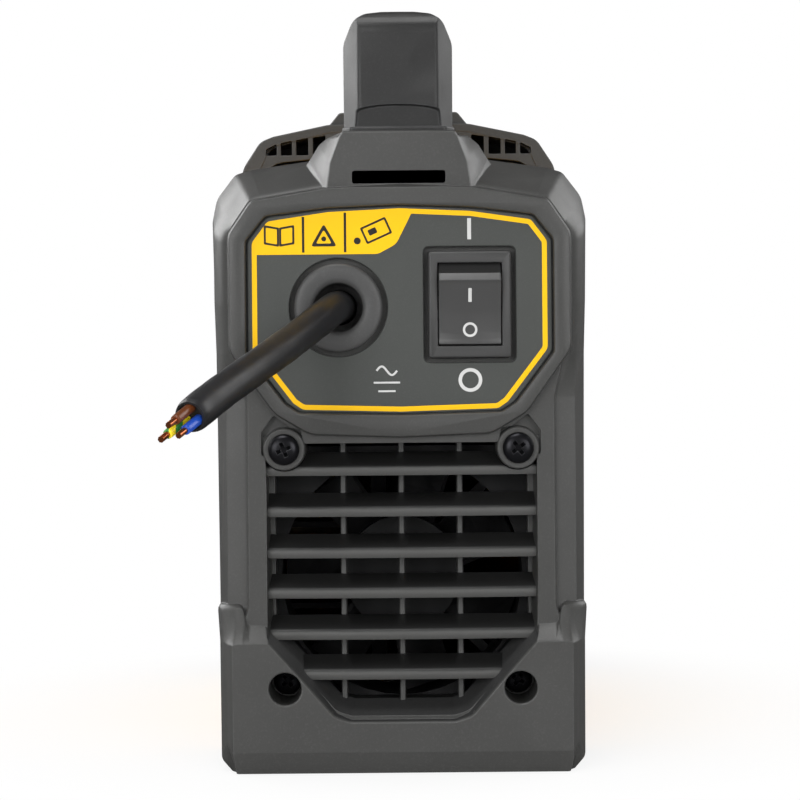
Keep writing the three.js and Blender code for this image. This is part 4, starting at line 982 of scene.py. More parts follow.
def rocker_mark(name, outer, inner):
    """Thin frame that follows the hollow face; outlines are (x from the middle, u)."""
    loops = []
    for points, lift in ((outer, -0.03), (outer, 0.05), (inner, 0.05), (inner, -0.03)):
        loops.append([(SWITCH_X + x, *tilted(u, face_height(u) + lift)) for x, u in points])
    add_part(name, solid(loops, looped=True), "switch_gloss", "print_white", body="power_rocker")


rocker_mark("rocker_mark_off", circle(0, -5.6, 2.2, 36), circle(0, -5.6, 1.5, 36))
on_outer = rect(-0.5, 0.5, 2.9, 7.2, 0.12, 2)
rocker_mark("rocker_mark_on", on_outer, [(x * 0.05, 5.05 + (u - 5.05) * 0.9) for x, u in on_outer])


# ------------------------------------------------------------------ screws with a cross recess
def cross_screw(name, where, turn, spin, radius, height, length, shank, node):
    """Modelled pointing out along +Y; turn is about Z, spin turns the cross, both in degrees."""
    profile = [(0, height), (radius * 0.42, height * 0.985), (radius * 0.72, height * 0.87),
               (radius * 0.9, height * 0.66), (radius * 0.985, height * 0.4), (radius, height * 0.2),
               (radius * 0.985, 0.06), (radius * 0.95, 0.0), (shank, 0.0)]
    along = 0.0
    while along > -length + 1.2:
        profile += [(shank, along - 0.25), (shank - 0.32, along - 0.5)]
        along -= 0.75
    profile += [(shank * 0.6, -length + 0.2), (0, -length)]
    screw = lathe(profile, (0, 0), 56)
    half_slot, depth = radius * 0.13, height * 0.78
    slot_half = [(radius * 0.5, height + 0.1), (radius * 0.46, height * 0.75),
                 (radius * 0.2, height - depth)]
    slot = [(-x, y) for x, y in slot_half] + slot_half[::-1]
    cutters = []
    for k in (0, 90):
        cutter = prism(slot, -half_slot, half_slot, "Z")
        cutter.data.transform(Matrix.Rotation(radians(k + spin), 4, "Y"))
        cutters.append(cutter)
    screw = cut(screw, *cutters)
    screw = cut(screw, loft([(height - depth * 0.9, circle(0, 0, radius * 0.1, 12)),
                             (height + 0.1, circle(0, 0, radius * 0.25, 12))]))
    screw.data.transform(Matrix.Translation(Vector(where) * MM)
                         @ Matrix.Rotation(radians(turn), 4, "Z"))
    add_part(name, clean(screw, 0.002), "black_steel", replaces=node, angle=42)


# name, place (x, z), y, turn, spin at +x and its step to -x, (head radius, head height, length,
# shank radius), CAD node, number of the first node
COVER_SCREWS = [
    ("cover_screw_upper", REAR_UPPER_SCREW, 134.6, 0, 22, 14, (4.75, 2.5, 15.5, 1.9), "rear_screw", 1),
    ("cover_screw_lower", REAR_LOWER_SCREW, 117.3, 0, 38, 20, (4.35, 2.4, 5, 1.9), "rear_screw", 3),
    ("front_cover_screw_upper", FRONT_UPPER_SCREW, -139.3, 180, 12, 25, (3.5, 2.2, 18, 1.8),
     "front_screw", 1),
    ("front_cover_screw_lower", FRONT_LOWER_SCREW, -134.3, 180, 30, 31, (4.3, 2.4, 13, 1.8),
     "front_screw", 3)]
for i, side in enumerate(SIDES):
    for name, (x, z), y, turn, spin, step, sizes, node, first in COVER_SCREWS:
        cross_screw(f"{name}_{i + 1}", (side * x, y, z), turn, spin + step * i, *sizes,
                    f"{node}_{first + i}")
for i, (side, end) in enumerate([(1, -1), (1, 1), (-1, -1), (-1, 1)]):
    cross_screw(f"shell_screw_{i + 1}", (side * 52.05, end * SHELL_SCREW_Y, SHELL_SCREW_Z),
                -90 * side, 17 * i, 3.9, 2.2, 6.8, 1.6, f"case_screw_{i + 1}")

# ------------------------------------------------------------------ handle
HANDLE_SLOPE = 0.0566              # rise of the grip per millimetre towards -Y
HANDLE_FOOT_Z = 194.7


def grip_bottom(y):
    return 213.8 + (80 - y) * HANDLE_SLOPE


def grip_top(y):
    return 231 + (117.5 - y) * HANDLE_SLOPE


HANDLE_SIDE = [    # (y, z), round the grip from the rear foot over the top
    (126.3, HANDLE_FOOT_Z), (121.9, grip_top(117.5) + 1.7), (-98, grip_top(-98) + 1.6),
    (-109, 242.4), (-116, 236.5), (-119, 220.2), (-93, 220.2), (-86, grip_bottom(-86) + 0.6),
    (-78, grip_bottom(-78)), (80, 213.8), (90, 209.5), (97, 201.5), (99, HANDLE_FOOT_Z)]
HANDLE_SIDE_RADII = [0.5, 9, 16, 12, 9, 0.6, 0.6, 6, 10, 10, 9, 8, 0.6]


def handle_section(y):
    top = grip_top(y)
    half = [(16.6, top - 60), (16.75, top - 30), (16.9, top - 8.6), (13.9, top - 1.4),
            (10.3, top + 0.8), (5, top + 1.45), (0, top + 1.5)]
    return outline(half, [0.2, 0.2, 8, 7, 6, 6, 4], steps=6)


def handle_plan(z):
    """Outline (x, y) seen from above; the rear end leans in with height."""
    lean_in = (z - HANDLE_FOOT_Z) * 0.1186
    points = [(-17.6, -130), (17.6, -130), (17.6, 118.9 - lean_in), (12.0, 126.4 - lean_in),
              (-12.0, 126.4 - lean_in), (-17.6, 118.9 - lean_in)]
    return fillet(points, [1, 1, 3.0, 1.8, 1.8, 3.0], 7)


def foot_plan(half_width, side_y, half_end, end_y):
    points = [(-half_width, 90), (half_width, 90), (half_width, side_y), (half_end, end_y),
              (-half_end, end_y), (-half_width, side_y)]
    return fillet(points, [1, 1, 2.4, 1.4, 1.4, 2.4], 5)


def scale_about(points, factor, z_fixed):
    return [(x * factor, z_fixed + (z - z_fixed) * factor) for x, z in points]


handle = prism(fillet(HANDLE_SIDE[::-1], HANDLE_SIDE_RADII[::-1], 7), -18, 18, "X")
handle = common(handle, loft([(y, handle_section(y)) for y in (-130, -60, 20, 140)]))
handle = common(handle, loft([(z, handle_plan(z)) for z in (180, 262)], "Z"))
# Pocket under the grip
pocket = [(76, 200), (76, grip_bottom(76) + 4.8), (-78, grip_bottom(-78) + 4.8), (-78, 200)]
handle = cut(handle, prism(fillet(pocket, 0.5, 2), -12.6, 12.6, "X"))
# Rear foot, and the scalloped end above it
foot_base = foot_plan(17.3, 122.6, 14.6, 126.9)
foot = loft([(194.6, foot_base), (195.9, foot_base),
             (196.3, foot_plan(16.9, 122.3, 14.3, 126.5))], "Z")
foot = cut(foot, cuboid(-20, 20, 80, 99.4, 190, 200))
handle = fuse(handle, foot)
arch = [(13.6, 196.35), (13.2, 200.9)]
arch += [(13.2 * cos(radians(a)), 200.9 + 2.3 * sin(radians(a))) for a in range(12, 180, 12)]
arch += [(-13.2, 200.9), (-13.6, 196.35)]
arch.reverse()
handle = cut(handle, loft([(123.9, scale_about(arch, 0.93, 196.6)), (124.6, arch),
                           (129, scale_about(arch, 1.05, 196.7))]))
add_part("handle_body", clean(handle), "cover", "handle", replaces="handle", angle=33)

# Ribbed soft pad under the grip
PAD_STEPS, RIB_PITCH = 130, 6.1
pad_rings = []
for i in range(PAD_STEPS + 1):
    y = -77.6 + 153.2 * i / PAD_STEPS
    fade = min(1.0, min(i, PAD_STEPS - i) / 4)
    rib = 0.0
    if 6 < i < PAD_STEPS - 6:
        rib = 0.45 * max(0.0, sin(2 * pi * (y + 77.6) / RIB_PITCH)) ** 0.6
    low = grip_bottom(y) + 0.4 + rib + 0.5 * (1 - fade)
    half = [(12.2, grip_bottom(y) + 4.4), (12.2, low + 1.6), (11.2, low + 0.45), (8, low),
            (4, low - 0.1)]
    section = [(-x, z) for x, z in half] + [(0, low - 0.14)] + half[::-1]
    pad_rings.append([(x, y, z) for x, z in section])
add_part("handle_soft_pad", solid(pad_rings), "soft_grip", replaces="handle_underside", angle=45)

# ------------------------------------------------------------------ powder-coated shell
SHELL_START, SHELL_END = -96, 95   # y of the tall front end and the low rear end
SHELL_X = 51.8                     # outer face of the side walls
# Half outlines (x, z) at the front and rear ends, and corner radii
SHELL_OUTER = ([(51.8, 0.5), (51.8, 140), (53.4, 189.5), (50, 199.4), (28, 201.6)],
               [(51.8, 0.5), (51.8, 120), (51.8, 166), (47, 176.6), (27, 181)], [0, 30, 9, 9, 14])
SHELL_INNER = ([(50.3, 0.5), (50.3, 140), (51.9, 189), (49.0, 198.0), (27.7, 200.0)],
               [(50.3, 0.5), (50.3, 120), (50.3, 165.5), (46.2, 175.3), (26.8, 179.5)],
               [0, 30, 7.5, 7.5, 12.5])


def shell_path(front_half, rear_half, radii, t):
    """Open rounded path from one lower edge over the top to the other; t is 0 front, 1 rear."""
    half = [(p[0] + (q[0] - p[0]) * t, p[1] + (q[1] - p[1]) * t)
            for p, q in zip(front_half, rear_half)]
    points, radii = mirror(half), mirror_radii(radii, half)
    path = [points[0]]
    for k in range(1, len(points) - 1):
        corner = Vector(points[k])
        back, ahead = Vector(points[k - 1]) - corner, Vector(points[k + 1]) - corner
        trim = min(radii[k] * 0.55, 0.45 * back.length, 0.45 * ahead.length)
        path += bend(corner + back.normalized() * trim, corner,
                     corner + ahead.normalized() * trim, 6)
    return path + [points[-1]]


def shell_section(y):
    t = (y - SHELL_START) / (SHELL_END - SHELL_START)
    return shell_path(*SHELL_OUTER, t) + shell_path(*SHELL_INNER, t)[::-1]


def pressed_frame(points, side, width=2.4, height=0.45):
    """Shallow raised frame round (y, z) points on a side wall."""
    rows = []
    for x, spread in ((51.6, width), (SHELL_X + height, width * 0.7),
                      (SHELL_X + height, width * 0.3), (51.6, 0)):
        rows.append([(side * x, *p) for p in fillet(offset(points, spread), 6 + spread, 6)])
    return solid(rows, looped=True)


shell = loft([(y, shell_section(y))
              for y in (SHELL_START, -95.6, -60, -20, 20, 60, 94.6, SHELL_END)])
cutters = []
for side in SIDES:
    for i in range(7):             # slanted slots with a small countersink
        y = -76 + 9 * i
        corners = [(y, 44), (y + 4, 44), (y + 14, 92), (y + 10, 92)]
        slot, rim = fillet(corners, 1.9, 4), fillet(offset(corners, 0.35), 2.1, 4)
        stations = [(side * 49, slot), (side * 51.45, slot), (side * 51.82, rim), (side * 53, rim)]
        cutters.append(loft(stations[::side], "X"))
    for y in (-SHELL_SCREW_Y, SHELL_SCREW_Y):
        cutters.append(prism(circle(y, SHELL_SCREW_Z, 2.1, 24), side * 49, side * 54, "X"))
    for y0, y1 in ((-97, -87.6), (87.6, 97)):
        cutters.append(cuboid(*sorted((side * 49, side * 53)), y0, y1, -1, 18))
for k in range(0, len(cutters), 6):
    shell = cut(shell, *cutters[k:k + 6])
for side in SIDES:
    frame_corners = [(-82.5, 39.5), (-17.5, 39.5), (-4.5, 96.5), (-69.5, 96.5)]
    shell = fuse(shell, pressed_frame(frame_corners, side))
add_part("case_shell_sheet", clean(shell), "shell_yellow", replaces="case_shell", angle=32)

# ------------------------------------------------------------------ front cover
FRONT_RIM = [(52.5, 0.0), (55.6, 14), (56.0, 41), (56.2, 60), (56.6, 106), (57.4, 143),
             (61.6, 197.2), (54.3, 208.4), (49.2, 210.4), (27.6, 214.9), (0, 215.9)]
FRONT_MIDDLE = [(50.8, 0.0), (53.9, 10), (54.3, 41), (54.4, 60), (54.6, 106), (55.0, 143),
                (57.9, 189.6), (51.0, 202.2), (46.2, 204.0), (26.4, 207.6), (0, 208.4)]
FRONT_FACE = [(49.4, 0.0), (52.2, 7), (52.6, 41), (52.4, 60), (52.4, 106), (52.6, 143), (54.4, 182),
              (47.4, 195.0), (42.8, 196.6), (25.6, 200.2), (0, 201.0)]
FRONT_RADII = [1.5, 5, 4, 6, 8, 8, 9, 7, 5, 12, 0.1]
front = skin(FRONT_RADII, (88.0, FRONT_RIM, -0.35), (88.35, FRONT_RIM), (105, FRONT_RIM),
             (124, FRONT_RIM, -0.05), (136, FRONT_MIDDLE, 0.35), (146.6, FRONT_FACE, 0.25),
             (147.6, FRONT_FACE, -0.15), (148.0, FRONT_FACE, -0.85))

# Pedestal under the front foot of the handle
FOOT_BACK = [(27.4, 205), (27.4, 214.6), (23.2, 219.8)]
FOOT_FACE = [(25.0, 201), (25.0, 212.5), (21.4, 217.6)]
pedestal = skin([0.3, 3, 2], (90.8, FOOT_BACK, -0.3), (91.2, FOOT_BACK), (118, FOOT_BACK),
                (122.4, FOOT_FACE, 0.2), (123.0, FOOT_FACE, -0.4))
# Bumper, like the one at the rear
FRONT_BUMPER = [(52.2, 0.0), (56.3, 12), (57.0, 38.0), (55.9, 47.4), (50.4, 49.2), (46.5, 44.5),
                (41.4, 40.4), (26.0, 19.0), (20.0, 16.0)]
FRONT_BUMPER_FACE = [(49.5, 0.0), (52.5, 7.2), (53.0, 36.4), (52.0, 39.4), (49.2, 40.2),
                     (46.0, 39.0), (42.2, 36.4), (27.0, 17.6), (20.0, 14.9)]
bumper = skin([0.6, 4, 3, 3, 2, 2, 1, 4, 0.5], (121.0, FRONT_BUMPER, -0.8), (122.0, FRONT_BUMPER),
              (136.5, [(x - 0.6, z) for x, z in FRONT_BUMPER]), (148.2, FRONT_BUMPER_FACE, 0.4),
              (148.8, FRONT_BUMPER_FACE, -0.1))
front = fuse(front, pedestal, bumper)
# Raised frame round the controls
FRONT_RING = [(0, 92.0), (39.2, 92.4), (48.6, 105.2), (48.6, 171.6), (39.6, 185.6), (22.0, 189.8),
              (0, 190.7)]
front = fuse(front, skin([0.1, 8, 9, 7, 6, 9, 0.1], (143.0, FRONT_RING, 1.0),
                         (147.0, FRONT_RING, 0.6), (149.6, FRONT_RING), (150.2, FRONT_RING, -0.5)))
FRONT_CAVITY = [(49, 2.5), (52.2, 14), (52.4, 41), (52.2, 60), (52.4, 106), (53.4, 143),
                (55.8, 194.4), (50.6, 205.6), (46.6, 207.2), (27, 211.9), (0, 212.8)]
FRONT_CAVITY_END = [(47, 2.5), (49.2, 10), (49.6, 41), (49.2, 60), (49.2, 106), (49.4, 143),
                    (50.6, 185), (45.2, 198), (40.6, 199.5), (24.8, 203.2), (0, 204.0)]
front = cut(front, skin(FRONT_RADII, (86.0, FRONT_CAVITY), (118.0, FRONT_CAVITY),
                        (129.6, FRONT_CAVITY_END)))

# The neck over the shell is closed down to it, with a row of slots
NECK_INNER = [(52.2, 0.4), (52.2, 140), (53.8, 189.9), (50.4, 199.9), (28, 202.1), (0, 202.1)]
NECK_OUTER = [(53.2, 3), (56.6, 143), (60.7, 196.4), (53.4, 207.3), (48.4, 209.4), (27.3, 213.8),
              (0, 214.8)]
neck = prism(outline(NECK_OUTER, [1, 4, 9, 7, 5, 12, 0.1]), 88.4, 92.0)
neck = cut(neck, prism(outline(NECK_INNER, [0.1, 30, 9, 9, 14, 0.1]), 86, 94),
           cuboid(-60, 60, 86, 94, -1, 8))
front = fuse(front, neck)
# inner x, outer x, top z at the inner side, top z at the outer side
NECK_SLOTS = [(28.6, 33.6, 210.8, 210.0), (35.4, 40.2, 209.9, 209.0), (41.8, 46.2, 208.8, 207.9),
              (47.8, 52.0, 207.6, 205.4)]
for side in SIDES:
    slots = []
    for x0, x1, top0, top1 in NECK_SLOTS:
        corners = [(side * x0, 203.0), (side * x1, 203.0), (side * x1, top1), (side * x0, top0)]
        slots.append(prism(fillet(corners[::side], 0.5, 3), 85, 94))
    front = cut(front, *slots)

CONTROL_RECESS = [(0, 97), (36, 97), (44.6, 108), (44.6, 170), (36.5, 182), (21, 185.6), (0, 186.4)]
SOCKET_RECESS = [(0, 20), (24, 20), (43, 34), (43, 84), (36, 90.0), (0, 90.0)]
RECESS_FLOOR = 133.0
front = cut(front, recess_cutter(CONTROL_RECESS, RECESS_FLOOR, 150.2, lip=0.6, radius=4.0, steps=6),
            recess_cutter(SOCKET_RECESS, RECESS_FLOOR, 148.5, lip=0.7, radius=5.0, steps=6))

# Screw bosses and wells, and the openings for sockets, knob, display and lamps
FRONT_BOSS = [(0, 128), (5.6, 128), (5.6, 138.9), (5.3, 139.3), (0, 139.3)]
FRONT_UPPER_WELL = [(0, 139.3), (3.95, 139.3), (3.95, 148.2), (4.3, 149.0), (5.2, 150.4), (5.2, 152),
                    (0, 152)]
FRONT_LOWER_WELL = [(0, 134.3), (4.9, 134.3), (4.9, 148.0), (5.15, 148.6), (5.9, 149.4), (5.9, 152),
                    (0, 152)]
for side in SIDES:
    front = fuse(front, lathe(FRONT_BOSS, at_side(side, FRONT_UPPER_SCREW), 40))
holes = []
for side in SIDES:
    upper, lower = at_side(side, FRONT_UPPER_SCREW), at_side(side, FRONT_LOWER_SCREW)
    holes += [lathe(FRONT_UPPER_WELL, upper, 44), lathe(FRONT_LOWER_WELL, lower, 44),
              rod(at_side(side, SOCKET), 11.9, 120, 140, 64), rod(upper, 2.2, 120, 141, 20),
              rod(lower, 2.2, 120, 136, 20)]
holes += [rod(KNOB, 4, 120, 140, 40), cuboid(-20, 20, 120, 140, 154, 174)]
holes += [rod((LAMP_X, z), 3.1, 120, 140, 32) for z in (LAMP_AMBER_Z, LAMP_GREEN_Z)]
front = cut(front, *holes[:6])
front = cut(front, *holes[6:])
add_part("front_cover_shell", to_front(clean(front)), "cover", replaces="front_cover", angle=34)

# ------------------------------------------------------------------ control panel and its print
FRONT_PANEL = [(0, 97.5), (35.8, 97.5), (44.2, 108.2), (44.2, 169.8), (36.3, 181.5), (20.9, 185.1),
               (0, 185.9)]
FRONT_BORDER = [(0, 99.5), (34.9, 99.5), (42.3, 109.0), (42.3, 169.2), (35.2, 179.7), (20.7, 183.1),
                (0, 183.8)]
FRONT_PANEL_RADII = [0.1, 4, 4, 4, 4, 6, 0.1]
plate = cut(panel_plate(FRONT_PANEL, FRONT_PANEL_RADII), rod(KNOB, 4, 130, 136, 40),
            prism(rect(-18.4, 18.4, 155.6, 172.4, 1.4), 130, 136),
            *[rod((LAMP_X, z), 2.8, 130, 136, 32) for z in (LAMP_AMBER_Z, LAMP_GREEN_Z)])
add_part("front_panel_plate", to_front(plate), "panel", replaces="front_panel", angle=34)
add_part("front_border", to_front(border(FRONT_BORDER, FRONT_PANEL_RADII)), "panel", "print_yellow")


def strokes(name, runs, width, face, material="print_white"):
    """Thin raised lines with round joints along runs of (x, z) points."""
    bm = bmesh.new()

    def add_plate(points, top):
        add_rings(bm, [[(x, y, z) for x, z in points] for y in (face - INK_SINK, top)])

    for run in runs:
        for start, end in zip(run, run[1:]):
            add_plate(bar(start, end, width), face + 0.05)
        for x, z in run:
            add_plate(circle(x, z, width / 2, 12), face + 0.05 * 0.98)
    add_part(name, to_front(to_object(bm)), "panel", material)


# Runs of points in a cell 1 wide and 1.8 high
GLYPHS = {
    "0": [[(0.2, 0), (0.8, 0), (1, 0.3), (1, 1.5), (0.8, 1.8), (0.2, 1.8), (0, 1.5), (0, 0.3),
           (0.2, 0)]],
    "1": [[(0.15, 1.45), (0.55, 1.8), (0.55, 0)]],
    "2": [[(0, 1.4), (0.2, 1.8), (0.8, 1.8), (1, 1.4), (1, 1.15), (0, 0), (1, 0)]],
    "4": [[(0.8, 0), (0.8, 1.8), (0, 0.55), (1, 0.55)]],
    "6": [[(0.9, 1.7), (0.5, 1.8), (0.1, 1.3), (0, 0.6), (0.2, 0), (0.8, 0), (1, 0.3), (1, 0.7),
           (0.8, 1.0), (0.2, 1.0), (0, 0.6)]],
    "8": [[(0.25, 0.95), (0, 0.65), (0, 0.3), (0.25, 0), (0.75, 0), (1, 0.3), (1, 0.65),
           (0.75, 0.95), (0.25, 0.95), (0.05, 1.2), (0.05, 1.5), (0.3, 1.8), (0.7, 1.8),
           (0.95, 1.5), (0.95, 1.2), (0.75, 0.95)]],
}


def number_runs(text, centre_x, centre_z, height=3.0):
    scale = height / 1.8
    gap = 0.45 * scale
    x = centre_x - (len(text) * scale + (len(text) - 1) * gap) / 2
    runs = []
    for digit in text:
        for run in GLYPHS[digit]:
            runs.append([(x + px * scale, centre_z - height / 2 + pz * scale) for px, pz in run])
        x += scale + gap
    return runs


def on_dial(radius, degrees, radius_z=None):
    """Point on a circle round the knob, or on an ellipse when radius_z is given."""
    a = radians(degrees)
    return radius * cos(a), KNOB[1] + (radius_z or radius) * sin(a)


DIAL_START, DIAL_SWEEP = 225, 270  # degrees
ticks, numbers = [], []
for k in range(11):
    angle = DIAL_START - 27 * k
    ticks.append([on_dial(17.6, angle), on_dial(20.6 if k % 2 == 0 else 19.4, angle)])
    if k % 2 == 0:
        numbers += number_runs(str(k), *on_dial(24.0, angle, 23.6))
strokes("dial_ticks", ticks, 0.55, PANEL_FACE)
strokes("dial_numbers", numbers, 0.42, PANEL_FACE)
parts = [k / 48 for k in range(49)]
wedge = [on_dial(26.9 + 1.9 * f, DIAL_START - DIAL_SWEEP * f) for f in parts]
wedge += [on_dial(26.6, DIAL_START - DIAL_SWEEP * f) for f in reversed(parts)]
add_part("dial_wedge", to_front(ink(wedge, PANEL_FACE, 0.06)), "panel", "print_yellow")

# Yellow block beside the display, and plain signs on it and beside the lamps
FRONT_BLOCK = [(-41.6, 153.4), (-24.0, 153.4), (-21.4, 156.2), (-21.4, 176.6), (-20.9, 182.6),
               (-35.0, 179.2), (-41.6, 169.0)]
block = fillet(FRONT_BLOCK, [1.5, 2, 1.2, 0.5, 3, 3.6, 3.6], 5)
add_part("front_block", to_front(ink(block, PANEL_FACE, 0.07)), "panel", "print_yellow")
strokes("sign_arc", [
    [(-35.5, 160.0), (-28.0, 165.5)], [(-28.0, 165.5), (-30.2, 162.2)],
    [(-36.5, 158.0), (-26.5, 158.0)], [(-31.5, 158.4), (-30.2, 160.8)],
    [(-31.5, 158.4), (-33.4, 160.6)]], 0.7, PANEL_FACE + 0.06, "print_black")
strokes("sign_mains", [[(34.2 + 0.25 * k, LAMP_GREEN_Z + 1.0 * sin(k * pi / 7)) for k in range(15)]],
        0.45, PANEL_FACE)
strokes("sign_heat", [[(35.9, 157.9), (35.9, 162.2)], [(34.7, 158.9), (34.7, 161.4)],
                      [(37.1, 158.9), (37.1, 161.4)]], 0.45, PANEL_FACE)
# Minus and plus over the sockets, on the floor of the lower recess
strokes("sign_minus", [[(19.9, 78.2), (26.1, 78.2)]], 1.3, RECESS_FLOOR)
strokes("sign_plus", [[(-26.1, 78.2), (-19.9, 78.2)], [(-23, 75.1), (-23, 81.3)]], 1.3, RECESS_FLOOR)

# ------------------------------------------------------------------ display and lamps
window_outline = rect(-18, 18, 156, 172, 1.2)
window = loft([(131.0, window_outline), (134.5, window_outline),
               (134.9, rect(-17.7, 17.7, 156.3, 171.7, 1.1)),
               (135.05, rect(-16.8, 16.8, 157.2, 170.8, 0.9))])
add_part("display_window_lens", to_front(window), "display_window", replaces="display_window",
         angle=20)
# The seven strokes of a digit, in a cell 1 wide and 1.8 high
SEGMENTS = [[(0.25, 1.8), (0.85, 1.8)], [(1, 1.65), (1, 1.05)], [(1, 0.75), (1, 0.15)],
            [(0.15, 0), (0.75, 0)], [(0, 0.15), (0, 0.75)], [(0.05, 1.05), (0.1, 1.65)],
            [(0.18, 0.9), (0.82, 0.9)]]
digits = [[(-10.2 + 7.6 * i + (x + 0.1 * z) * 4.6, 159.4 + z * 5.1) for x, z in segment]
          for i in range(3) for segment in SEGMENTS]
strokes("display_digits", digits, 0.95, 135.03, "segments")

LAMP_DOME = [(0, 136.1), (1.1, 135.95), (1.9, 135.45), (2.3, 134.75), (2.45, 134.3), (2.45, 128.6),
             (2.75, 128.6), (2.75, 127.6), (0, 127.6)]
LAMP_COLLAR = [(2.5, 133.4), (3.35, 134.3), (3.5, 134.75), (3.2, 135.05), (2.75, 134.95),
               (2.5, 134.6)]
for name, z, slot, node in (("lamp_green", LAMP_GREEN_Z, "led_green", "led_power"),
                            ("lamp_amber", LAMP_AMBER_Z, "led_amber", "led_warning")):
    add_part(name, to_front(lathe(LAMP_DOME, (LAMP_X, z), 40)), slot, replaces=node)
    add_part(name + "_collar", to_front(lathe(LAMP_COLLAR, (LAMP_X, z), 48, closed=True)),
             "black_plastic")

# ------------------------------------------------------------------ current knob and its shaft
KNOB_STATIONS = [    # (y, radius, flute depth)
    (135.0, 14.9, 0), (135.3, 15.4, 0), (136.9, 15.5, 0), (137.3, 15.1, 0.1), (137.6, 14.2, 0.6),
    (138.2, 13.9, 1.0), (145.4, 13.2, 1.0), (146.6, 12.8, 0.8), (147.2, 12.1, 0.35),
    (147.5, 11.3, 0), (147.4, 10.6, 0), (147.0, 10.0, 0), (146.75, 8.0, 0), (146.6, 2.0, 0)]


def fluted_circle(radius, depth, flutes=15, count=180):
    points = []
    for i in range(count):
        a = 2 * pi * i / count
        r = radius - depth * max(0.0, -cos(flutes * (a - pi / 2) + pi)) ** 1.5
        points.append((r * cos(a), KNOB[1] + r * sin(a)))
    return points


knob = loft([(y, fluted_circle(radius, depth)) for y, radius, depth in KNOB_STATIONS])
knob = cut(knob, prism(rect(-0.75, 0.75, 125.0, 134.6, 0.3, 3), 146.1, 149),
           rod(KNOB, 3.02, 134, 143.2, 40))
add_part("current_knob_cap", to_front(clean(knob)), "knob_black", replaces="current_knob",
         body="current_knob", angle=33)
pointer_outline = rect(-0.72, 0.72, 125.05, 134.55, 0.3, 3)
pointer = loft([(145.9, pointer_outline), (147.22, pointer_outline),
                (147.35, rect(-0.55, 0.55, 125.2, 134.4, 0.25, 3))])
add_part("knob_pointer", to_front(pointer), "panel", "print_white", body="current_knob")
shaft = lathe([(0, 123.4), (2.9, 123.4), (3.0, 123.6), (3.0, 142.5), (2.6, 143.0), (0, 143.0)],
              KNOB, 48)
shaft = cut(shaft, cuboid(-4, 4, 136.5, 145, 124.1, 127))    # flat on the upper side
add_part("knob_shaft", to_front(shaft), "aluminium", replaces="potentiometer_shaft",
         body="current_knob", angle=33)

# ------------------------------------------------------------------ output sockets
SOCKET_RING = [    # (radius, y)
    (8.55, 113.9), (11.3, 113.9), (11.5, 114.2), (11.5, 133.3), (15.2, 133.3), (15.6, 133.8),
    (15.6, 136.6), (15.2, 137.2), (14.5, 137.4), (13.4, 137.5), (13.1, 137.9), (13.0, 145.6),
    (12.7, 146.2), (12.1, 146.5), (10.0, 146.5), (9.4, 146.2), (9.15, 145.4), (8.95, 144.1),
    (8.55, 143.9)]
SOCKET_CONTACT = [
    (0, 108.0), (3.6, 108.0), (4.0, 108.4), (4.0, 116.0), (8.5, 116.0), (8.5, 143.5), (8.1, 144.0),
    (5.6, 144.0), (5.0, 143.6), (4.7, 142.9), (4.7, 122.2), (3.2, 121.2), (0, 121.0)]
GROOVE = [(0, 138.6), (0.62, 139.0), (0.62, 144.4), (0, 144.8)]
for side, name in ((1, "negative"), (-1, "positive")):
    x, z = at_side(side, SOCKET)
    grooves = join(*[lathe(GROOVE, centre, 12) for centre in circle(x, z, 13.35, 24)])
    collar = cut(lathe(SOCKET_RING, (x, z), 96, closed=True), grooves)
    # Key notch at the top of the mouth
    collar = cut(collar, prism(rect(x - 1.6, x + 1.6, 63.6, 66.6, 0.4, 3), 140.0, 147))
    add_part(f"outlet_{name}_ring", to_front(clean(collar)), "black_plastic",
             replaces=f"socket_{name}_body", angle=36)
    keyway = rect(x - 1.3, x + 1.3, 58.0, 63.0, 0.35, 3)
    keyway = loft([(124.0, keyway), (143.2, keyway),
                   (144.3, rect(x - 1.7, x + 1.7, 58.0, 63.4, 0.4, 3))])
    contact = cut(lathe(SOCKET_CONTACT, (x, z), 80), keyway)
    add_part(f"outlet_{name}_contact", to_front(clean(contact)), "brass",
             replaces=f"socket_{name}_contact", angle=36)

# ------------------------------------------------------------------ pieces that keep their CAD shape
slot_of = {piece["node"]: piece["material_slot"] for piece in frame["record"]["subparts"]}
for name, node in frame["nodes"].items():
    material = materials[slot_of[name]]
    # Fan frame and rotor: black plastic, made darker still as painted shade inside the case
    if name in ("fan_frame", "fan_rotor"):
        material = materials["black_dark"]
    # Heatsinks are made near black as painted shade inside the case
    if name.startswith("heatsink"):
        material = materials["black_anodised"]
    if len(node.material_slots) == 0:
        node.data.materials.append(material)
    for slot in node.material_slots:
        slot.link = "OBJECT"
        slot.material = material


# ------------------------------------------------------------------ stage (metres from here on)
def stage_material():
    """Pale floor that fades to white away from the case and looks dim in reflections."""
    m = MaterialNodes("stage_pale")
    m.fill(m.shader, {
        "Base Color": m.mix(m.ramp(m.noise(scale=3.0)), linear((232, 232, 231)),
                            linear((236, 236, 235))),
        "Roughness": m.ramp(m.noise(scale=12), to_low=0.62, to_high=0.7)})
    white = m.node("ShaderNodeEmission", {0: (1, 1, 1, 1)})
    dim = m.node("ShaderNodeEmission", {0: (0.1, 0.1, 0.1, 1)})
    distance = m.node("ShaderNodeVectorMath", {0: m.coords}, operation="LENGTH").outputs["Value"]
    fade = m.ramp(distance, low=0.07, high=0.19, to_low=0.68)
    rays = m.node("ShaderNodeLightPath").outputs
    seen = m.node("ShaderNodeMixShader", {
        0: m.calc("MULTIPLY", fade, rays["Is Camera Ray"]), 1: m.shader.outputs[0],
        2: white.outputs[0]})
    floor_shader = m.node("ShaderNodeMixShader", {
        0: rays["Is Glossy Ray"], 1: seen.outputs[0], 2: dim.outputs[0]})
    m.put(m.output.inputs[0], floor_shader.outputs[0])
    return m.material


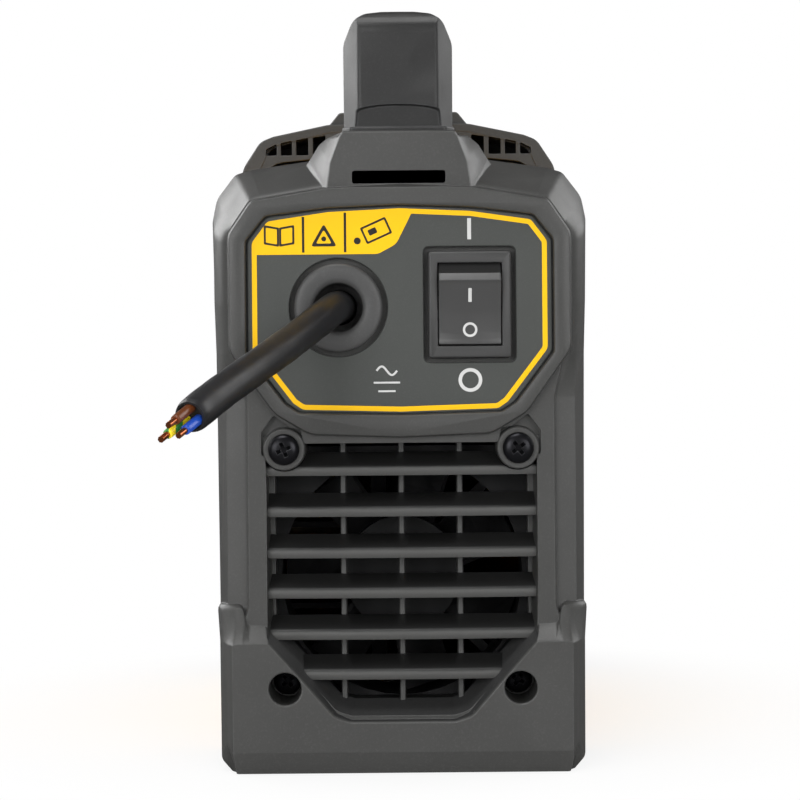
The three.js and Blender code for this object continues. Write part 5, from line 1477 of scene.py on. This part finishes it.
bm = bmesh.new()
bm.faces.new([bm.verts.new((x, y, -0.0002)) for x, y in ((-6, -5), (6, -5), (6, 5), (-6, 5))])
floor = to_object(bm)
floor.name = "stage_floor"
floor.data.name = "stage_floor"
floor.data.materials.append(stage_material())

scene = bpy.context.scene
scene.view_settings.view_transform = "Standard"
scene.view_settings.look = "None"


def build_world():
    """White surroundings with one strength for fill, reflections and the camera each."""
    world = scene.world or bpy.data.worlds.new("studio")
    scene.world = world
    world.use_nodes = True
    nodes, links = world.node_tree.nodes, world.node_tree.links
    nodes.clear()
    output = nodes.new("ShaderNodeOutputWorld")

    def white(strength):
        node = nodes.new("ShaderNodeBackground")
        node.inputs[0].default_value = (1, 1, 1, 1)
        node.inputs[1].default_value = strength
        return node

    fill, reflected, seen = white(strength=0.32), white(strength=0.06), white(strength=1.0)
    rays = nodes.new("ShaderNodeLightPath").outputs

    def choose(ray, otherwise, chosen):
        node = nodes.new("ShaderNodeMixShader")
        links.new(rays[ray], node.inputs[0])
        links.new(otherwise.outputs[0], node.inputs[1])
        links.new(chosen.outputs[0], node.inputs[2])
        return node

    lit = choose("Is Glossy Ray", fill, reflected)
    links.new(choose("Is Camera Ray", lit, seen).outputs[0], output.inputs[0])


build_world()


# ------------------------------------------------------------------ lights
def area(name, location, target, size, power):
    light = bpy.data.lights.new(name, "AREA")
    light.energy, light.size = power, size
    lamp = bpy.data.objects.new(name, light)
    scene.collection.objects.link(lamp)
    lamp.location = location
    way = Vector(target) - Vector(location)
    lamp.rotation_euler = way.to_track_quat("-Z", "Y").to_euler()
    return lamp


SIDE_AIM, MIDDLE_AIM, REAR_AIM = (0, 0.05, 0.16), (0, 0, 0.12), (0, 0.1, 0.12)
LIGHTS = [    # name, location, target, size, power in watts, kind of ray it is hidden from
    ("side_left", (1.12, -0.62, 0.80), SIDE_AIM, 1.0, 20, "diffuse"),
    ("side_right", (-1.12, -0.62, 0.80), SIDE_AIM, 1.0, 9, "diffuse"),
    ("sheet_left", (1.3, -0.75, 0.6), MIDDLE_AIM, 0.9, 8, "glossy"),
    ("sheet_right", (-1.3, -0.75, 0.6), MIDDLE_AIM, 0.9, 6, "glossy"),
    ("rear_left", (1.0, 1.68, 0.42), REAR_AIM, 0.8, 11, None),
    ("rear_right", (-1.0, 1.68, 0.42), REAR_AIM, 0.8, 8.5, None),
    ("rear_soft_left", (0.5, 1.9, 0.42), REAR_AIM, 0.8, 12, "glossy"),
    ("rear_soft_right", (-0.5, 1.9, 0.42), REAR_AIM, 0.8, 10, "glossy"),
    ("front_left", (1.1, -1.6, 0.7), MIDDLE_AIM, 0.8, 11, "glossy"),
    ("front_right", (-1.1, -1.6, 0.7), MIDDLE_AIM, 0.8, 13, "glossy"),
    ("fill_left", (1.5, -0.1, 0.7), MIDDLE_AIM, 0.8, 3, "glossy"),
    ("fill_right", (-1.5, -0.1, 0.7), MIDDLE_AIM, 0.8, 5, "glossy")]
for name, location, target, size, power, hidden in LIGHTS:
    lamp = area(name, location, target, size, power)
    lamp.data.shape, lamp.data.size_y = "RECTANGLE", size
    if hidden:
        setattr(lamp, f"visible_{hidden}", False)
area("top", (0.25, 0.5, 1.5), target=(0, 0.05, 0.15), size=0.7, power=9)

# ------------------------------------------------------------------ camera, looking along -Y
CAMERA_DISTANCE = 0.75             # from the rear face
REAR_FACE_Y = 0.134
CAMERA_HEIGHT = 0.1333
camera = bpy.data.cameras.new("camera")
camera_object = bpy.data.objects.new("camera", camera)
scene.collection.objects.link(camera_object)
camera.sensor_width = 36.0
camera.lens = 111.375
camera.shift_x, camera.shift_y = 0.0, -0.085
camera_object.location = (0, REAR_FACE_Y + CAMERA_DISTANCE, CAMERA_HEIGHT)
face_rear = Matrix.Rotation(radians(180), 3, "Z") @ Matrix.Rotation(radians(90), 3, "X")
roll = Matrix.Rotation(radians(-0.5), 3, "Z")
camera_object.rotation_euler = (face_rear @ roll).to_euler()
camera.clip_start, camera.clip_end = 0.01, 50
scene.camera = camera_object
